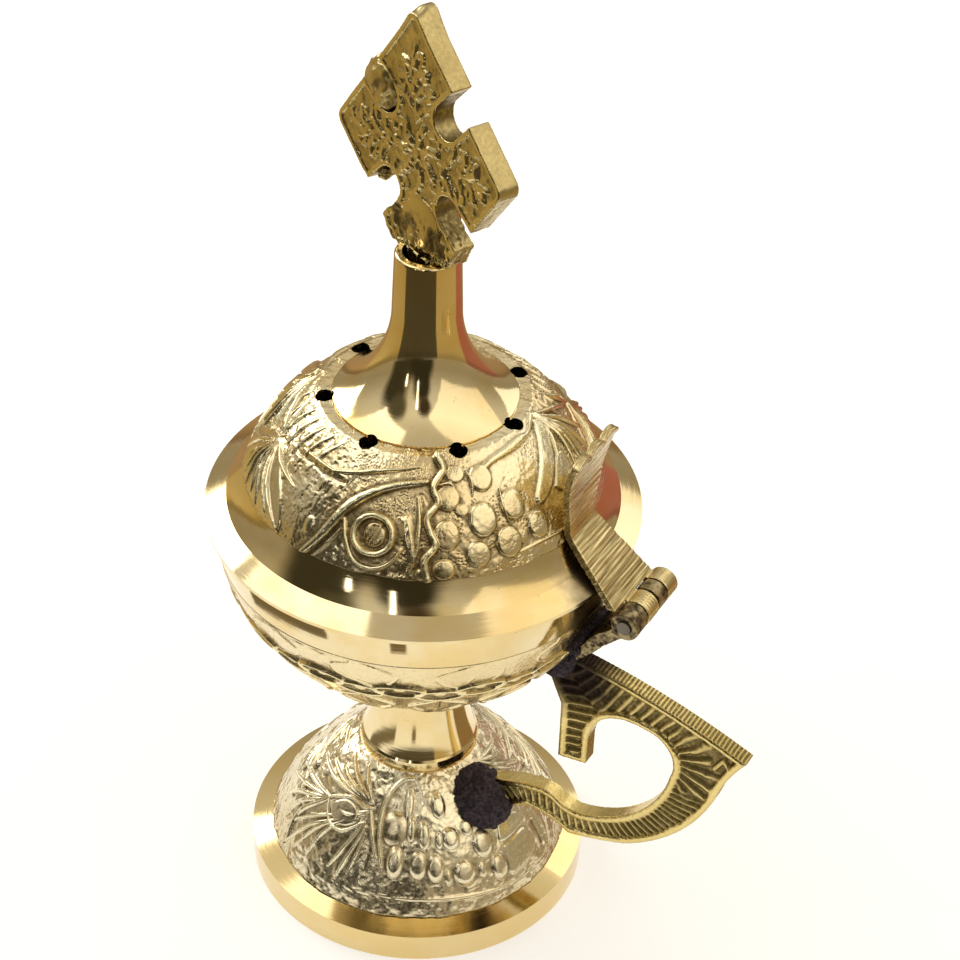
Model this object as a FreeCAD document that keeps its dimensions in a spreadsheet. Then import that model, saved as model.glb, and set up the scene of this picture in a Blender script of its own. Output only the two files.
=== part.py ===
import FreeCAD, Part
import Sketcher
import math
import os
from types import SimpleNamespace
from FreeCAD import Placement, Rotation, Vector

# A standing brass censer: a hollow foot, a turned stem, a bowl with an ember cup,
# and a domed lid with a neck and a cross, hinged over a cast side handle.
# Millimetres. The foot stands on z = 0, the bowl's axis is Z, the handle points to +X.

SIZES = {
    # shells
    "wall": 2.0,
    "bolt_hole_radius": 3.1,
    # foot
    "foot_radius": 31.3,
    "foot_edge_height": 5.6,
    "foot_dome_radius": 27.4,
    "foot_dome_base": 6.7,
    "foot_dome_bulge": 52.9,
    "foot_height": 27.2,
    # stem
    "stem_flange_radius": 10.7,
    "stem_flange_height": 2.2,
    "stem_neck_radius": 10.4,
    "stem_top_radius": 8.6,
    "stem_curve": 38.0,
    "stem_height": 19.7,
    # bowl: an ellipse of revolution, cut flat on the stem and at the rim
    "bowl_radius": 37.0,
    "bowl_depth": 39.8,
    "bowl_centre_height": 85.4,
    "rim_height": 82.0,
    "rim_land": 2.4,
    # ember cup
    "cup_radius": 31.5,
    "cup_depth": 26.4,
    "cup_rim_height": 78.6,
    "cup_lip": 1.6,
    "cup_wall": 1.2,
    # lid
    "lid_radius": 38.0,
    "lid_edge_height": 0.7,
    "lid_bevel_radius": 34.2,
    "lid_bevel_height": 84.9,
    "lid_cove_radius": 31.05,
    "lid_cove_height": 89.6,
    "lid_dome_bulge": 38.0,
    "lid_top_radius": 17.9,
    "lid_top_height": 105.2,
    "vent_radius": 1.55,
    "vent_circle": 17.0,
    # neck
    "neck_flare_radius": 15.8,
    "neck_flare_edge": 0.5,
    "neck_flare_curve": 20.0,
    "neck_waist_radius": 5.9,
    "neck_waist_height": 123.2,
    "neck_mouth_radius": 5.6,
    "neck_mouth_height": 133.7,
    "neck_bore_radius": 4.3,
    "neck_bore_floor": 126.5,
    # cross
    "cross_half_width": 21.7,
    "cross_half_height": 24.2,
    "cross_corner_radius": 2.0,
    "cross_cut_height": 16.6,
    "cross_thickness": 4.0,
    "cross_notch_radius": 3.0,
    "cross_notch_centre": 7.8,
    "cross_centre_height": 151.1,
    "boss_radius": 5.2,
    "boss_height": 139.0,
    "boss_spigot_radius": 3.7,
    # screws
    "stud_radius": 2.0,
    "stud_low": 97.8,
    "stud_high": 134.5,
    "stud_hole_radius": 2.1,
    "lid_nut_width": 8.1,
    "lid_nut_height": 3.2,
    "lid_washer_radius": 6.0,
    "washer_thickness": 0.8,
    "bolt_radius": 3.0,
    "bolt_head_radius": 6.0,
    "bolt_head_height": 2.6,
    "bolt_low": 16.4,
    "column_nut_width": 11.5,
    "column_nut_height": 5.0,
    "column_washer_radius": 7.6,
    "column_washer_thickness": 1.2,
    # hinge
    "hinge_reach": 43.7,
    "hinge_height": 78.7,
    "knuckle_radius": 2.6,
    "pin_radius": 1.25,
    "pin_play": 0.05,
    "leaf_width": 16.0,
    "leaf_shift": -1.2,
    "bracket_width": 11.0,
    "bracket_shift": -1.4,
    # handle
    "handle_thickness": 3.1,
}

# Turned about the bowl's axis from the hinge, as hand-drilled.
VENT_ANGLES = (52, 0, -41, -93, -145, -198, -253)

# Knuckles along the pin: which strip they belong to, and where they start and end.
KNUCKLES = (
    ("bracket", -8.2, -4.2),
    ("leaf", -4.0, -0.4),
    ("bracket", 0.1, 3.0),
    ("leaf", 3.2, 6.7),
)

# Side clearance between neighbouring knuckles.
KNUCKLE_PLAY = 0.25

# Attitude of the cross on its stud, in degrees.
CROSS_YAW = -22.1
CROSS_LEAN = -2.8
CROSS_ROLL = -7.0


class Size:
    """A length that knows its value and the spreadsheet expression it comes from."""

    def __init__(self, value, text):
        self.value = value
        self.text = text

    @staticmethod
    def of(other):
        if isinstance(other, Size):
            return other
        return Size(float(other), repr(float(other)))

    def __add__(self, other):
        other = Size.of(other)
        return Size(self.value + other.value, f"({self.text} + {other.text})")

    def __sub__(self, other):
        other = Size.of(other)
        return Size(self.value - other.value, f"({self.text} - {other.text})")

    def __mul__(self, other):
        other = Size.of(other)
        return Size(self.value * other.value, f"({self.text} * {other.text})")

    def __neg__(self):
        return Size(-self.value, f"(0 - {self.text})")


doc = FreeCAD.newDocument("Censer")


def make_sheet():
    """Put the driving sizes in a spreadsheet and return them as named lengths."""
    sheet = doc.addObject("Spreadsheet::Sheet", "Sizes")
    for row, (name, value) in enumerate(SIZES.items(), start=1):
        sheet.set(f"A{row}", name)
        sheet.set(f"B{row}", str(value))
        sheet.setAlias(f"B{row}", name)
    doc.recompute()
    lengths = {name: Size(value, f"Sizes.{name}") for name, value in SIZES.items()}
    return SimpleNamespace(**lengths)


d = make_sheet()
nodes = []


def bind(thing, prop, size):
    """Drive a property from the spreadsheet, or set it when it is a plain number."""
    if isinstance(size, Size):
        thing.setExpression(prop, size.text)
    else:
        setattr(thing, prop, size)


def keep(thing, label):
    """Name a finished piece and list it for export."""
    thing.Label = label
    nodes.append(thing)
    return thing


# ---------------------------------------------------------------- sketches

def arc_between(start, end, radius):
    """Arc from start to end; a positive radius turns left, a negative one right."""
    half = (end - start) * 0.5
    reach = math.sqrt(radius ** 2 - half.Length ** 2)
    left = Vector(-half.y, half.x, 0).normalize()
    side = 1 if radius > 0 else -1
    centre = start + half + left * (reach * side)
    first, last = (start, end) if radius > 0 else (end, start)
    angles = [math.atan2(point.y - centre.y, point.x - centre.x) for point in (first, last)]
    circle = Part.Circle(centre, Vector(0, 0, 1), abs(radius))
    return Part.ArcOfCircle(circle, angles[0], angles[1])


def number(size):
    return size.value if isinstance(size, Size) else float(size)


def pin_vertex(sketch, edge, vertex, across, up):
    """Hold one vertex at its place from the sketch's origin."""
    for kind, size, axis in (("DistanceX", across, -2), ("DistanceY", up, -1)):
        if number(size) == 0:
            sketch.addConstraint(Sketcher.Constraint("PointOnObject", edge, vertex, axis))
            continue
        index = sketch.addConstraint(
            Sketcher.Constraint(kind, -1, 1, edge, vertex, number(size)))
        if isinstance(size, Size):
            sketch.setExpression(f"Constraints[{index}]", size.text)


def new_sketch(body, name, role):
    """Empty sketch on one of the body's own origin planes."""
    sketch = body.newObject("Sketcher::SketchObject", name)
    plane = next(item for item in body.Origin.OriginFeatures if item.Role == role)
    sketch.AttachmentSupport = (plane, [""])
    sketch.MapMode = "FlatFace"
    return sketch


def draw_outline(sketch, outline):
    """Closed outline. A point is (across, up) or (across, up, radius of the edge to it)."""
    count = len(outline)
    ends = []
    base = sketch.GeometryCount
    for index in range(count):
        here = outline[index]
        there = outline[(index + 1) % count]
        start = Vector(number(here[0]), number(here[1]), 0)
        end = Vector(number(there[0]), number(there[1]), 0)
        if len(there) == 3:
            radius = number(there[2])
            sketch.addGeometry(arc_between(start, end, radius), False)
            ends.append((1, 2) if radius > 0 else (2, 1))
        else:
            sketch.addGeometry(Part.LineSegment(start, end), False)
            ends.append((1, 2))
    for index in range(count):
        following = (index + 1) % count
        sketch.addConstraint(Sketcher.Constraint(
            "Coincident", base + index, ends[index][1], base + following, ends[following][0]))
    for index in range(count):
        pin_vertex(sketch, base + index, ends[index][0], outline[index][0], outline[index][1])
        there = outline[(index + 1) % count]
        if len(there) == 3:
            size = there[2] if number(there[2]) > 0 else Size.of(there[2]) * -1
            place = sketch.addConstraint(
                Sketcher.Constraint("Radius", base + index, abs(number(there[2]))))
            if isinstance(there[2], Size):
                sketch.setExpression(f"Constraints[{place}]", size.text)


def draw_circle(sketch, across, up, radius):
    """Circle with its centre and radius held."""
    centre = Vector(number(across), number(up), 0)
    edge = sketch.addGeometry(Part.Circle(centre, Vector(0, 0, 1), number(radius)), False)
    pin_vertex(sketch, edge, 3, across, up)
    place = sketch.addConstraint(Sketcher.Constraint("Radius", edge, number(radius)))
    if isinstance(radius, Size):
        sketch.setExpression(f"Constraints[{place}]", radius.text)


# ---------------------------------------------------------------- features

def new_body(name):
    return doc.addObject("PartDesign::Body", name)


def revolve(body, name, outline):
    """Turn an outline in the XZ plane about Z."""
    sketch = new_sketch(body, name + "_outline", "XZ_Plane")
    draw_outline(sketch, outline)
    turned = body.newObject("PartDesign::Revolution", name)
    turned.Profile = sketch
    turned.ReferenceAxis = (sketch, ["V_Axis"])
    turned.Angle = 360
    doc.recompute()
    return turned


def pad(body, name, outline, role, length, shift=None):
    """Extrude an outline evenly to both sides of an origin plane, or of one shifted from it."""
    sketch = new_sketch(body, name + "_outline", role)
    if shift is not None:
        sketch.setExpression(".AttachmentOffset.Base.z", (-shift).text)
    draw_outline(sketch, outline)
    solid = body.newObject("PartDesign::Pad", name)
    solid.Profile = sketch
    solid.SideType = "Symmetric"
    bind(solid, "Length", length)
    doc.recompute()
    return solid


def cut_through(body, name, role, draw):
    """Pocket right through the body, both ways from an origin plane."""
    before = body.Shape.Volume
    sketch = new_sketch(body, name + "_outline", role)
    draw(sketch)
    pocket = body.newObject("PartDesign::Pocket", name)
    pocket.Profile = sketch
    pocket.Type = "ThroughAll"
    pocket.SideType = "Symmetric"
    doc.recompute()
    if body.Shape.Volume > before - 0.1:
        raise RuntimeError(name + " cuts nothing")
    return pocket


def cylinder(name, radius, height, base, direction=Vector(0, 0, 1)):
    """Plain round bar from a base point along a direction."""
    bar = doc.addObject("Part::Cylinder", name)
    bind(bar, "Radius", radius)
    bind(bar, "Height", height)
    bar.Placement = Placement(base, Rotation(Vector(0, 0, 1), direction))
    return bar


def cut(name, base, tool):
    result = doc.addObject("Part::Cut", name)
    result.Base = base
    result.Tool = tool
    return result


def fuse(name, shapes):
    result = doc.addObject("Part::MultiFuse", name)
    result.Shapes = shapes
    return result


def lift(thing, height, across=0.0):
    """Bind an upright primitive's base height to the sheet."""
    thing.setExpression(".Placement.Base.z", Size.of(height).text)
    thing.setExpression(".Placement.Base.x", Size.of(across).text)
    return thing


# ---------------------------------------------------------------- foot, stem and bowl

def make_foot():
    body = new_body("FootBody")
    inner_edge = d.foot_radius - d.wall
    revolve(body, "FootTurn", [
        (inner_edge, 0),
        (d.foot_radius, 0),
        (d.foot_radius, d.foot_edge_height),
        (d.foot_dome_radius, d.foot_dome_base),
        (d.stem_flange_radius, d.foot_height, d.foot_dome_bulge),
        (d.bolt_hole_radius, d.foot_height),
        (d.bolt_hole_radius, d.foot_height - d.wall),
        (d.stem_flange_radius - d.wall * 0.5, d.foot_height - d.wall),
        (d.foot_dome_radius - d.wall, d.foot_dome_base - d.wall * 0.6,
         -(d.foot_dome_bulge - d.wall)),
        (inner_edge, d.foot_edge_height - d.wall * 0.7),
    ])
    keep(body, "foot")


def make_stem():
    body = new_body("StemBody")
    top = d.foot_height + d.stem_height
    flange_top = d.foot_height + d.stem_flange_height
    revolve(body, "StemTurn", [
        (d.bolt_hole_radius, d.foot_height),
        (d.stem_flange_radius, d.foot_height),
        (d.stem_flange_radius, flange_top),
        (d.stem_neck_radius, flange_top + 0.4),
        (d.stem_top_radius, top, -d.stem_curve),
        (d.bolt_hole_radius, top),
    ])
    keep(body, "stem")


def dish(name, half_width, half_depth, centre, floor, top):
    """Solid bounded below by an ellipse of revolution and cut flat at floor and top."""
    ball = doc.addObject("Part::Sphere", name + "Ball")
    ball.Radius = 1
    squash = FreeCAD.Matrix()
    squash.scale(half_width, half_width, half_depth)
    stretched = doc.addObject("Part::Feature", name + "Ellipsoid")
    doc.recompute()
    stretched.Shape = ball.Shape.transformGeometry(squash)
    stretched.Placement = Placement(Vector(0, 0, centre), Rotation())
    block = cylinder(name + "Block", half_width + 5, top - floor, Vector(0, 0, floor))
    part = doc.addObject("Part::Common", name)
    part.Base = stretched
    part.Tool = block
    return part


def make_bowl():
    floor = d.foot_height.value + d.stem_height.value
    wide = d.bowl_radius.value
    deep = d.bowl_depth.value
    centre = d.bowl_centre_height.value
    rim = d.rim_height.value
    outer = dish("BowlOuter", wide, deep, centre, floor, rim)
    inner = dish("BowlInner", wide - d.rim_land.value, deep - d.wall.value,
                 centre, floor + d.wall.value, rim + 1)
    shell = cut("BowlShell", outer, inner)
    hole = cylinder("BowlHole", d.bolt_hole_radius, 6.0, Vector(0, 0, floor - 2))
    keep(cut("Bowl", shell, hole), "bowl")


def make_fire_cup():
    base = d.foot_height.value + d.stem_height.value + d.wall.value + d.bolt_head_height.value
    top = d.cup_rim_height.value
    wide = d.cup_radius.value
    deep = d.cup_depth.value + 2.0
    outer = dish("CupOuter", wide, deep, top, base, top)
    inner = dish("CupInner", wide - d.cup_wall.value, deep - d.cup_wall.value,
                 top, base + d.cup_wall.value, top + 1)
    lip_outer = lift(cylinder("CupLipOuter", d.cup_radius + d.cup_lip, d.cup_wall,
                              Vector()), d.cup_rim_height - d.cup_wall)
    solid = fuse("CupSolid", [outer, lip_outer])
    keep(cut("FireCup", solid, inner), "fire_cup")


def hexagon(name, across_flats, height, base):
    """Hexagonal block with its lower face at a given height."""
    block = doc.addObject("Part::Prism", name)
    block.Polygon = 6
    bind(block, "Circumradius", across_flats * (1 / math.sqrt(3)))
    bind(block, "Height", height)
    lift(block, base)
    return block


def make_column_fasteners():
    bowl_floor = d.foot_height + d.stem_height + d.wall
    shank = lift(cylinder("BoltShank", d.bolt_radius, bowl_floor - d.bolt_low, Vector()),
                 d.bolt_low)
    head = lift(cylinder("BoltHead", d.bolt_head_radius, d.bolt_head_height, Vector()),
                bowl_floor)
    keep(fuse("ColumnBolt", [shank, head]), "column_bolt")

    washer_low = d.foot_height - d.wall - d.column_washer_thickness
    disc = lift(cylinder("ColumnWasherDisc", d.column_washer_radius, d.column_washer_thickness,
                         Vector()), washer_low)
    disc_hole = lift(cylinder("ColumnWasherHole", d.bolt_hole_radius, 4.0, Vector()),
                     washer_low - 1)
    keep(cut("ColumnWasher", disc, disc_hole), "column_washer")

    nut_low = washer_low - d.column_nut_height
    block = hexagon("ColumnNutBlock", d.column_nut_width, d.column_nut_height, nut_low)
    thread = lift(cylinder("ColumnNutThread", d.bolt_radius, 8.0, Vector()), nut_low - 1)
    keep(cut("ColumnNut", block, thread), "column_nut")


# ---------------------------------------------------------------- lid, neck and cross

def draw_vents(sketch):
    """The ring of vent holes, drilled down the joint of the neck and the dome."""
    for angle in VENT_ANGLES:
        draw_circle(sketch,
                    d.vent_circle * math.cos(math.radians(angle)),
                    d.vent_circle * math.sin(math.radians(angle)),
                    d.vent_radius)


def make_lid():
    body = new_body("LidBody")
    inner_top = d.lid_top_height - d.wall
    revolve(body, "LidTurn", [
        (d.bowl_radius - d.rim_land, d.rim_height),
        (d.lid_radius, d.rim_height),
        (d.lid_radius, d.rim_height + d.lid_edge_height),
        (d.lid_bevel_radius, d.lid_bevel_height),
        (d.lid_cove_radius, d.lid_cove_height, -(d.wall * 10)),
        (d.lid_top_radius, d.lid_top_height, d.lid_dome_bulge),
        (d.stud_hole_radius, d.lid_top_height),
        (d.stud_hole_radius, inner_top),
        (d.lid_top_radius - d.wall * 0.8, inner_top),
        (d.lid_cove_radius - d.wall, d.lid_cove_height - d.wall * 0.6,
         -(d.lid_dome_bulge - d.wall)),
        (d.lid_bevel_radius - d.wall, d.lid_bevel_height - d.wall * 0.4),
    ])

    cut_through(body, "LidVents", "XY_Plane", draw_vents)
    keep(body, "lid_dome")


def make_neck():
    body = new_body("NeckBody")
    lip = 0.6
    revolve(body, "NeckTurn", [
        (d.stud_hole_radius, d.lid_top_height),
        (d.neck_flare_radius, d.lid_top_height),
        (d.neck_flare_radius, d.lid_top_height + d.neck_flare_edge),
        (d.neck_waist_radius, d.neck_waist_height, -d.neck_flare_curve),
        (d.neck_mouth_radius, d.neck_mouth_height - lip),
        (d.neck_mouth_radius - lip, d.neck_mouth_height, lip),
        (d.neck_bore_radius, d.neck_mouth_height),
        (d.neck_bore_radius, d.neck_bore_floor),
        (d.stud_hole_radius, d.neck_bore_floor),
    ])
    cut_through(body, "NeckVents", "XY_Plane", draw_vents)
    keep(body, "neck")


def round_corner(before, corner, after, radius):
    """The two points where a rounded corner leaves its sides; the second ends its arc."""
    back = (before - corner).normalize()
    ahead = (after - corner).normalize()
    trim = radius / math.tan(back.getAngle(ahead) / 2)
    first = corner + back * trim
    last = corner + ahead * trim
    return [(first.x, first.y), (last.x, last.y, -radius)]


def cross_outline():
    """Square stood on its corner, clockwise, with a round-bottomed slot in each side."""
    wide = d.cross_half_width.value
    tall = d.cross_half_height.value
    slot = d.cross_notch_radius.value
    soft = d.cross_corner_radius.value
    low = d.cross_cut_height.value
    centre = Vector(d.cross_notch_centre.value, d.cross_notch_centre.value, 0)
    along = Vector(wide, -tall, 0).normalize()
    outward = Vector(tall, wide, 0).normalize()
    gap = (wide * tall - centre.x * tall - centre.y * wide) / math.hypot(wide, tall)
    floor_up = centre - along * slot
    floor_low = centre + along * slot
    slot_points = [floor_up + outward * gap, floor_up, floor_low, floor_low + outward * gap]

    def slot_at(flip_x, flip_y):
        """The slot in one side; mirrored sides run through its points backwards."""
        walk = slot_points if flip_x * flip_y > 0 else slot_points[::-1]
        spots = [(point.x * flip_x, point.y * flip_y) for point in walk]
        spots[2] = spots[2] + (slot,)
        return spots

    cut_half = wide * (1 - low / tall)
    top = round_corner(Vector(-wide, 0, 0), Vector(0, tall, 0), Vector(wide, 0, 0), soft)
    right = round_corner(Vector(0, tall, 0), Vector(wide, 0, 0), Vector(0, -tall, 0), soft)
    left = round_corner(Vector(0, -tall, 0), Vector(-wide, 0, 0), Vector(0, tall, 0), soft)
    outline = top + slot_at(1, 1) + right + slot_at(1, -1)
    outline += [(cut_half, -low), (-cut_half, -low)]
    outline += slot_at(-1, -1) + left + slot_at(-1, 1)
    return outline


def make_cross():
    body = new_body("CrossPlateBody")
    pad(body, "CrossPlate", cross_outline(), "XZ_Plane", d.cross_thickness)
    yaw = Rotation(Vector(0, 0, 1), CROSS_YAW)
    lean = Rotation(Vector(1, 0, 0), CROSS_LEAN)
    roll = Rotation(Vector(0, 1, 0), CROSS_ROLL)
    turn = yaw.multiply(lean).multiply(roll)
    # the plate's middle stands over the neck, along its own tilted upright
    up = turn.multVec(Vector(0, 0, 1))
    drop = d.cross_centre_height.value - d.neck_mouth_height.value
    middle = Vector(0, 0, d.neck_mouth_height.value) + up * (drop / up.z)
    body.Placement = Placement(middle, turn)

    boss = doc.addObject("Part::Sphere", "CrossBoss")
    bind(boss, "Radius", d.boss_radius)
    lift(boss, d.boss_height)
    spigot = lift(cylinder("CrossSpigot", d.boss_spigot_radius, d.boss_height - d.neck_bore_floor,
                           Vector()), d.neck_bore_floor)
    solid = fuse("CrossSolid", [body, boss, spigot])
    socket = lift(cylinder("CrossSocket", d.stud_radius, d.stud_high - d.neck_bore_floor + 1,
                           Vector()), d.neck_bore_floor - 1)
    keep(cut("Cross", solid, socket), "cross")


def make_lid_fasteners():
    keep(lift(cylinder("CrossStud", d.stud_radius, d.stud_high - d.stud_low, Vector()),
              d.stud_low), "cross_stud")

    washer_low = d.lid_top_height - d.wall - d.washer_thickness
    disc = lift(cylinder("LidWasherDisc", d.lid_washer_radius, d.washer_thickness, Vector()),
                washer_low)
    disc_hole = lift(cylinder("LidWasherHole", d.stud_hole_radius, 3.0, Vector()),
                     washer_low - 1)
    keep(cut("LidWasher", disc, disc_hole), "lid_washer")

    nut_low = washer_low - d.lid_nut_height
    block = hexagon("LidNutBlock", d.lid_nut_width, d.lid_nut_height, nut_low)
    thread = lift(cylinder("LidNutThread", d.stud_radius, 6.0, Vector()), nut_low - 1)
    keep(cut("LidNut", block, thread), "lid_nut")


# ---------------------------------------------------------------- hinge

def bar_along_pin(name, radius, start, end):
    """Round bar on the hinge axis, from start to end along Y."""
    bar = cylinder(name, radius, end - start, Vector(0, start, 0), Vector(0, 1, 0))
    return lift(bar, d.hinge_height, d.hinge_reach)


def knuckles_of(strip):
    return [bar_along_pin(f"{strip}Knuckle{index}", d.knuckle_radius, start, end)
            for index, (owner, start, end) in enumerate(KNUCKLES) if owner == strip]


def gaps_for(strip):
    """Clearance round the other strip's knuckles."""
    play = KNUCKLE_PLAY
    return [bar_along_pin(f"{strip}Gap{index}", d.knuckle_radius + play, start - play, end + play)
            for index, (owner, start, end) in enumerate(KNUCKLES) if owner != strip]


def make_leaf():
    """Waisted plate that lies on the lid's bevel and turns up into the thumb-piece."""
    body = new_body("LeafBody")
    pad(body, "LeafPlate", [
        (43.2, 79.5),
        (32.1, 90.6),
        (31.5, 92.4, -2.6),
        (31.6, 99.0),
        (33.6, 108.0, -40.0),
        (32.3, 108.3),
        (30.2, 99.2, 40.0),
        (30.1, 92.0),
        (31.0, 90.1, 4.0),
        (42.2, 78.9),
    ], "XZ_Plane", d.leaf_width, d.leaf_shift)

    def waist(sketch):
        near_edge = KNUCKLES[0][2] + KNUCKLE_PLAY
        for side in (1, -1):
            foot = [(near_edge, 74.0), (near_edge, 80.9)] if side < 0 else []
            draw_outline(sketch, [(d.leaf_shift + side * 9.5, 74.0)] + foot + [
                (d.leaf_shift + side * 6.7, 80.9),
                (d.leaf_shift + side * 4.5, 90.5),
                (d.leaf_shift + side * 4.6, 93.5, side * -8.0),
                (d.leaf_shift + side * 7.1, 107.0),
                (d.leaf_shift + side * 7.1, 109.5),
                (d.leaf_shift + side * 9.5, 109.5),
            ])

    cut_through(body, "LeafWaist", "YZ_Plane", waist)
    solid = fuse("LeafSolid", [body] + knuckles_of("leaf"))
    cleared = cut("LeafCleared", solid, fuse("LeafGaps", gaps_for("leaf")))
    bore = bar_along_pin("LeafBore", d.pin_radius + d.pin_play, -12.0, 12.0)
    keep(cut("LidLeaf", cleared, bore), "lid_leaf")


def make_bracket():
    """Strip from the bowl's side up to the hinge pin."""
    body = new_body("BracketBody")
    pad(body, "BracketPlate", [
        (45.2, 77.2),
        (42.6, 78.2),
        (37.8, 73.6, -30.0),
        (34.0, 68.2),
        (34.6, 66.4),
        (39.6, 71.8, 30.0),
    ], "XZ_Plane", d.bracket_width, d.bracket_shift)
    solid = fuse("BracketSolid", [body] + knuckles_of("bracket"))
    cleared = cut("BracketCleared", solid, fuse("BracketGaps", gaps_for("bracket")))
    bore = bar_along_pin("BracketBore", d.pin_radius, -12.0, 12.0)
    keep(cut("HingeBracket", cleared, bore), "hinge_bracket")


def make_pin():
    keep(bar_along_pin("HingePin", d.pin_radius, -8.5, 7.0), "hinge_pin")


# ---------------------------------------------------------------- handle

def make_handle():
    """Flat casting: a pointed back, a round finger loop, and a lower arm to the foot."""
    body = new_body("HandleBody")
    pad(body, "HandlePlate", [
        (26.6, 57.0),
        (30.3, 61.7),
        (65.5, 52.6, -137.0),
        (60.8, 43.2, 31.0),
        (43.8, 22.4, -34.0),
        (32.6, 19.4, -60.0),
        (23.7, 21.8, 14.0),
        (19.8, 19.7),
        (15.6, 24.2),
        (27.0, 27.6, -30.0),
        (31.0, 25.8, -8.0),
        (36.0, 25.6, 6.0),
        (51.6, 43.0, 21.4),
        (45.8, 51.5, 6.2),
        (37.6, 49.6, 8.6),
        (35.3, 44.0, 11.0),
        (35.2, 38.0),
        (29.6, 37.4),
        (29.6, 50.0),
    ], "XZ_Plane", d.handle_thickness)
    keep(body, "handle")


# ---------------------------------------------------------------- brazing

def make_braze(name, centre, radii, tilt, neighbours):
    """Lump of braze metal: an ellipsoid cut to fit the pieces that it joins."""
    ball = Part.makeSphere(1)
    stretch = FreeCAD.Matrix()
    stretch.scale(radii[0], radii[1], radii[2])
    lump = ball.transformGeometry(stretch)
    lump.Placement = Placement(Vector(*centre), Rotation(Vector(0, 1, 0), tilt))
    for piece in neighbours:
        lump = lump.cut(piece.Shape)
    feature = doc.addObject("Part::Feature", name)
    feature.Shape = max(lump.Solids, key=lambda solid: solid.Volume)
    return keep(feature, name)


def node(label):
    return next(piece for piece in nodes if piece.Label == label)


def make_brazing():
    doc.recompute()
    make_braze("braze_bracket", (34.2, -1.4, 68.6), (2.8, 6.2, 3.4), 40,
               [node("bowl"), node("hinge_bracket"), node("handle")])
    make_braze("braze_handle_top", (29.2, 0, 60.6), (3.0, 4.6, 4.6), 35,
               [node("bowl"), node("handle"), node("braze_bracket")])
    make_braze("braze_handle_foot", (16.6, -2.8, 21.6), (4.6, 5.6, 6.0), -38,
               [node("foot"), node("stem"), node("handle")])
    make_braze("braze_leaf", (33.0, -1.2, 88.0), (2.0, 3.4, 3.0), -45,
               [node("lid_dome"), node("lid_leaf")])


def check_pieces():
    """Stop before writing anything if an object failed or a piece isn't a sound solid."""
    for thing in doc.Objects:
        if "Invalid" in thing.State or "Error" in thing.State:
            raise RuntimeError(f"{thing.Label} failed: {thing.State}")
    for piece in nodes:
        shape = piece.Shape
        if shape.isNull() or not shape.isValid() or not shape.Solids:
            raise RuntimeError(piece.Label + " has no sound shape")
        print(f"{piece.Label:20s} solids {len(shape.Solids)}  volume {shape.Volume:9.1f}")


def write_pieces():
    os.makedirs("parts", exist_ok=True)
    for piece in nodes:
        piece.Shape.exportStep(f"parts/{piece.Label}.step")


make_foot()
make_stem()
make_bowl()
make_fire_cup()
make_column_fasteners()
make_lid()
make_neck()
make_cross()
make_lid_fasteners()
make_leaf()
make_bracket()
make_pin()
make_handle()
make_brazing()
doc.recompute()
check_pieces()
write_pieces()
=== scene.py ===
"""Standing brass censer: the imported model's looks, light and camera."""
import math

import bpy
import numpy as np
from mathutils import Matrix, Vector, kdtree


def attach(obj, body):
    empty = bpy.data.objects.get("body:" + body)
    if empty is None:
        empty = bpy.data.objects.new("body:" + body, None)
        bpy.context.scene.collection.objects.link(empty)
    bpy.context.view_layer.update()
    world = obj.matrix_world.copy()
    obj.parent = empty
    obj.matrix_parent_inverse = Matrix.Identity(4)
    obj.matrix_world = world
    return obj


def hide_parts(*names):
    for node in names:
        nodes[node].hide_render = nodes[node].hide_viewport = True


MM = 0.001

# places on the censer, in mm
PIN_X, PIN_Z = 43.7, 78.7
NECK_FOOT = 15.95
LID_TOP_RADIUS, LID_TOP = 17.9, 105.2
VENT_CIRCLE, VENT_OPENING = 17.0, 1.62
VENT_TURNS = (52, 0, -41, -93, -145, -198, -253)
NECK_MOUTH = 133.7
CROSS_CENTRE = 151.1
# how the cross stands on the neck, in degrees: turned, leaning back, leaning sideways
CROSS_TURNED, CROSS_BACK, CROSS_SIDEWAYS = -22.1, -2.8, -7.0

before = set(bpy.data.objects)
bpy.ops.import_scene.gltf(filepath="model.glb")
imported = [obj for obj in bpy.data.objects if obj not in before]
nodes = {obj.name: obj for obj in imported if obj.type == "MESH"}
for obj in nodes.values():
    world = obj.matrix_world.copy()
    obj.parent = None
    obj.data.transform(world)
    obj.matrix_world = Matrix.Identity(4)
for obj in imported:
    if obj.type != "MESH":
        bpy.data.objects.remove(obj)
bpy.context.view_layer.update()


# ---------------------------------------------------------------- noise

def lattice_noise(x, y, z, seed):
    """Smooth noise from -1 to 1 over a lattice of unit cells."""
    table = np.random.RandomState(seed).uniform(-1, 1, (32, 32, 32))
    cells = [np.floor(value).astype(int) for value in (x, y, z)]
    parts = [value - cell for value, cell in zip((x, y, z), cells)]
    parts = [part * part * (3 - 2 * part) for part in parts]
    total = 0.0
    for corner in np.ndindex(2, 2, 2):
        weight = 1.0
        for part, side in zip(parts, corner):
            weight = weight * (part if side else 1 - part)
        index = tuple((cell + side) % 32 for cell, side in zip(cells, corner))
        total = total + weight * table[index]
    return total


def rough(points, grain, seed, octaves=3):
    """Layered noise at points (..., 3) in mm; grain is the size of the coarsest lumps."""
    total, share = 0.0, 1.0
    for octave in range(octaves):
        scaled = points / grain * 2 ** octave + 17.3 * octave
        total = total + share * lattice_noise(scaled[..., 0], scaled[..., 1], scaled[..., 2],
                                              seed + octave)
        share *= 0.5
    return total


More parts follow.
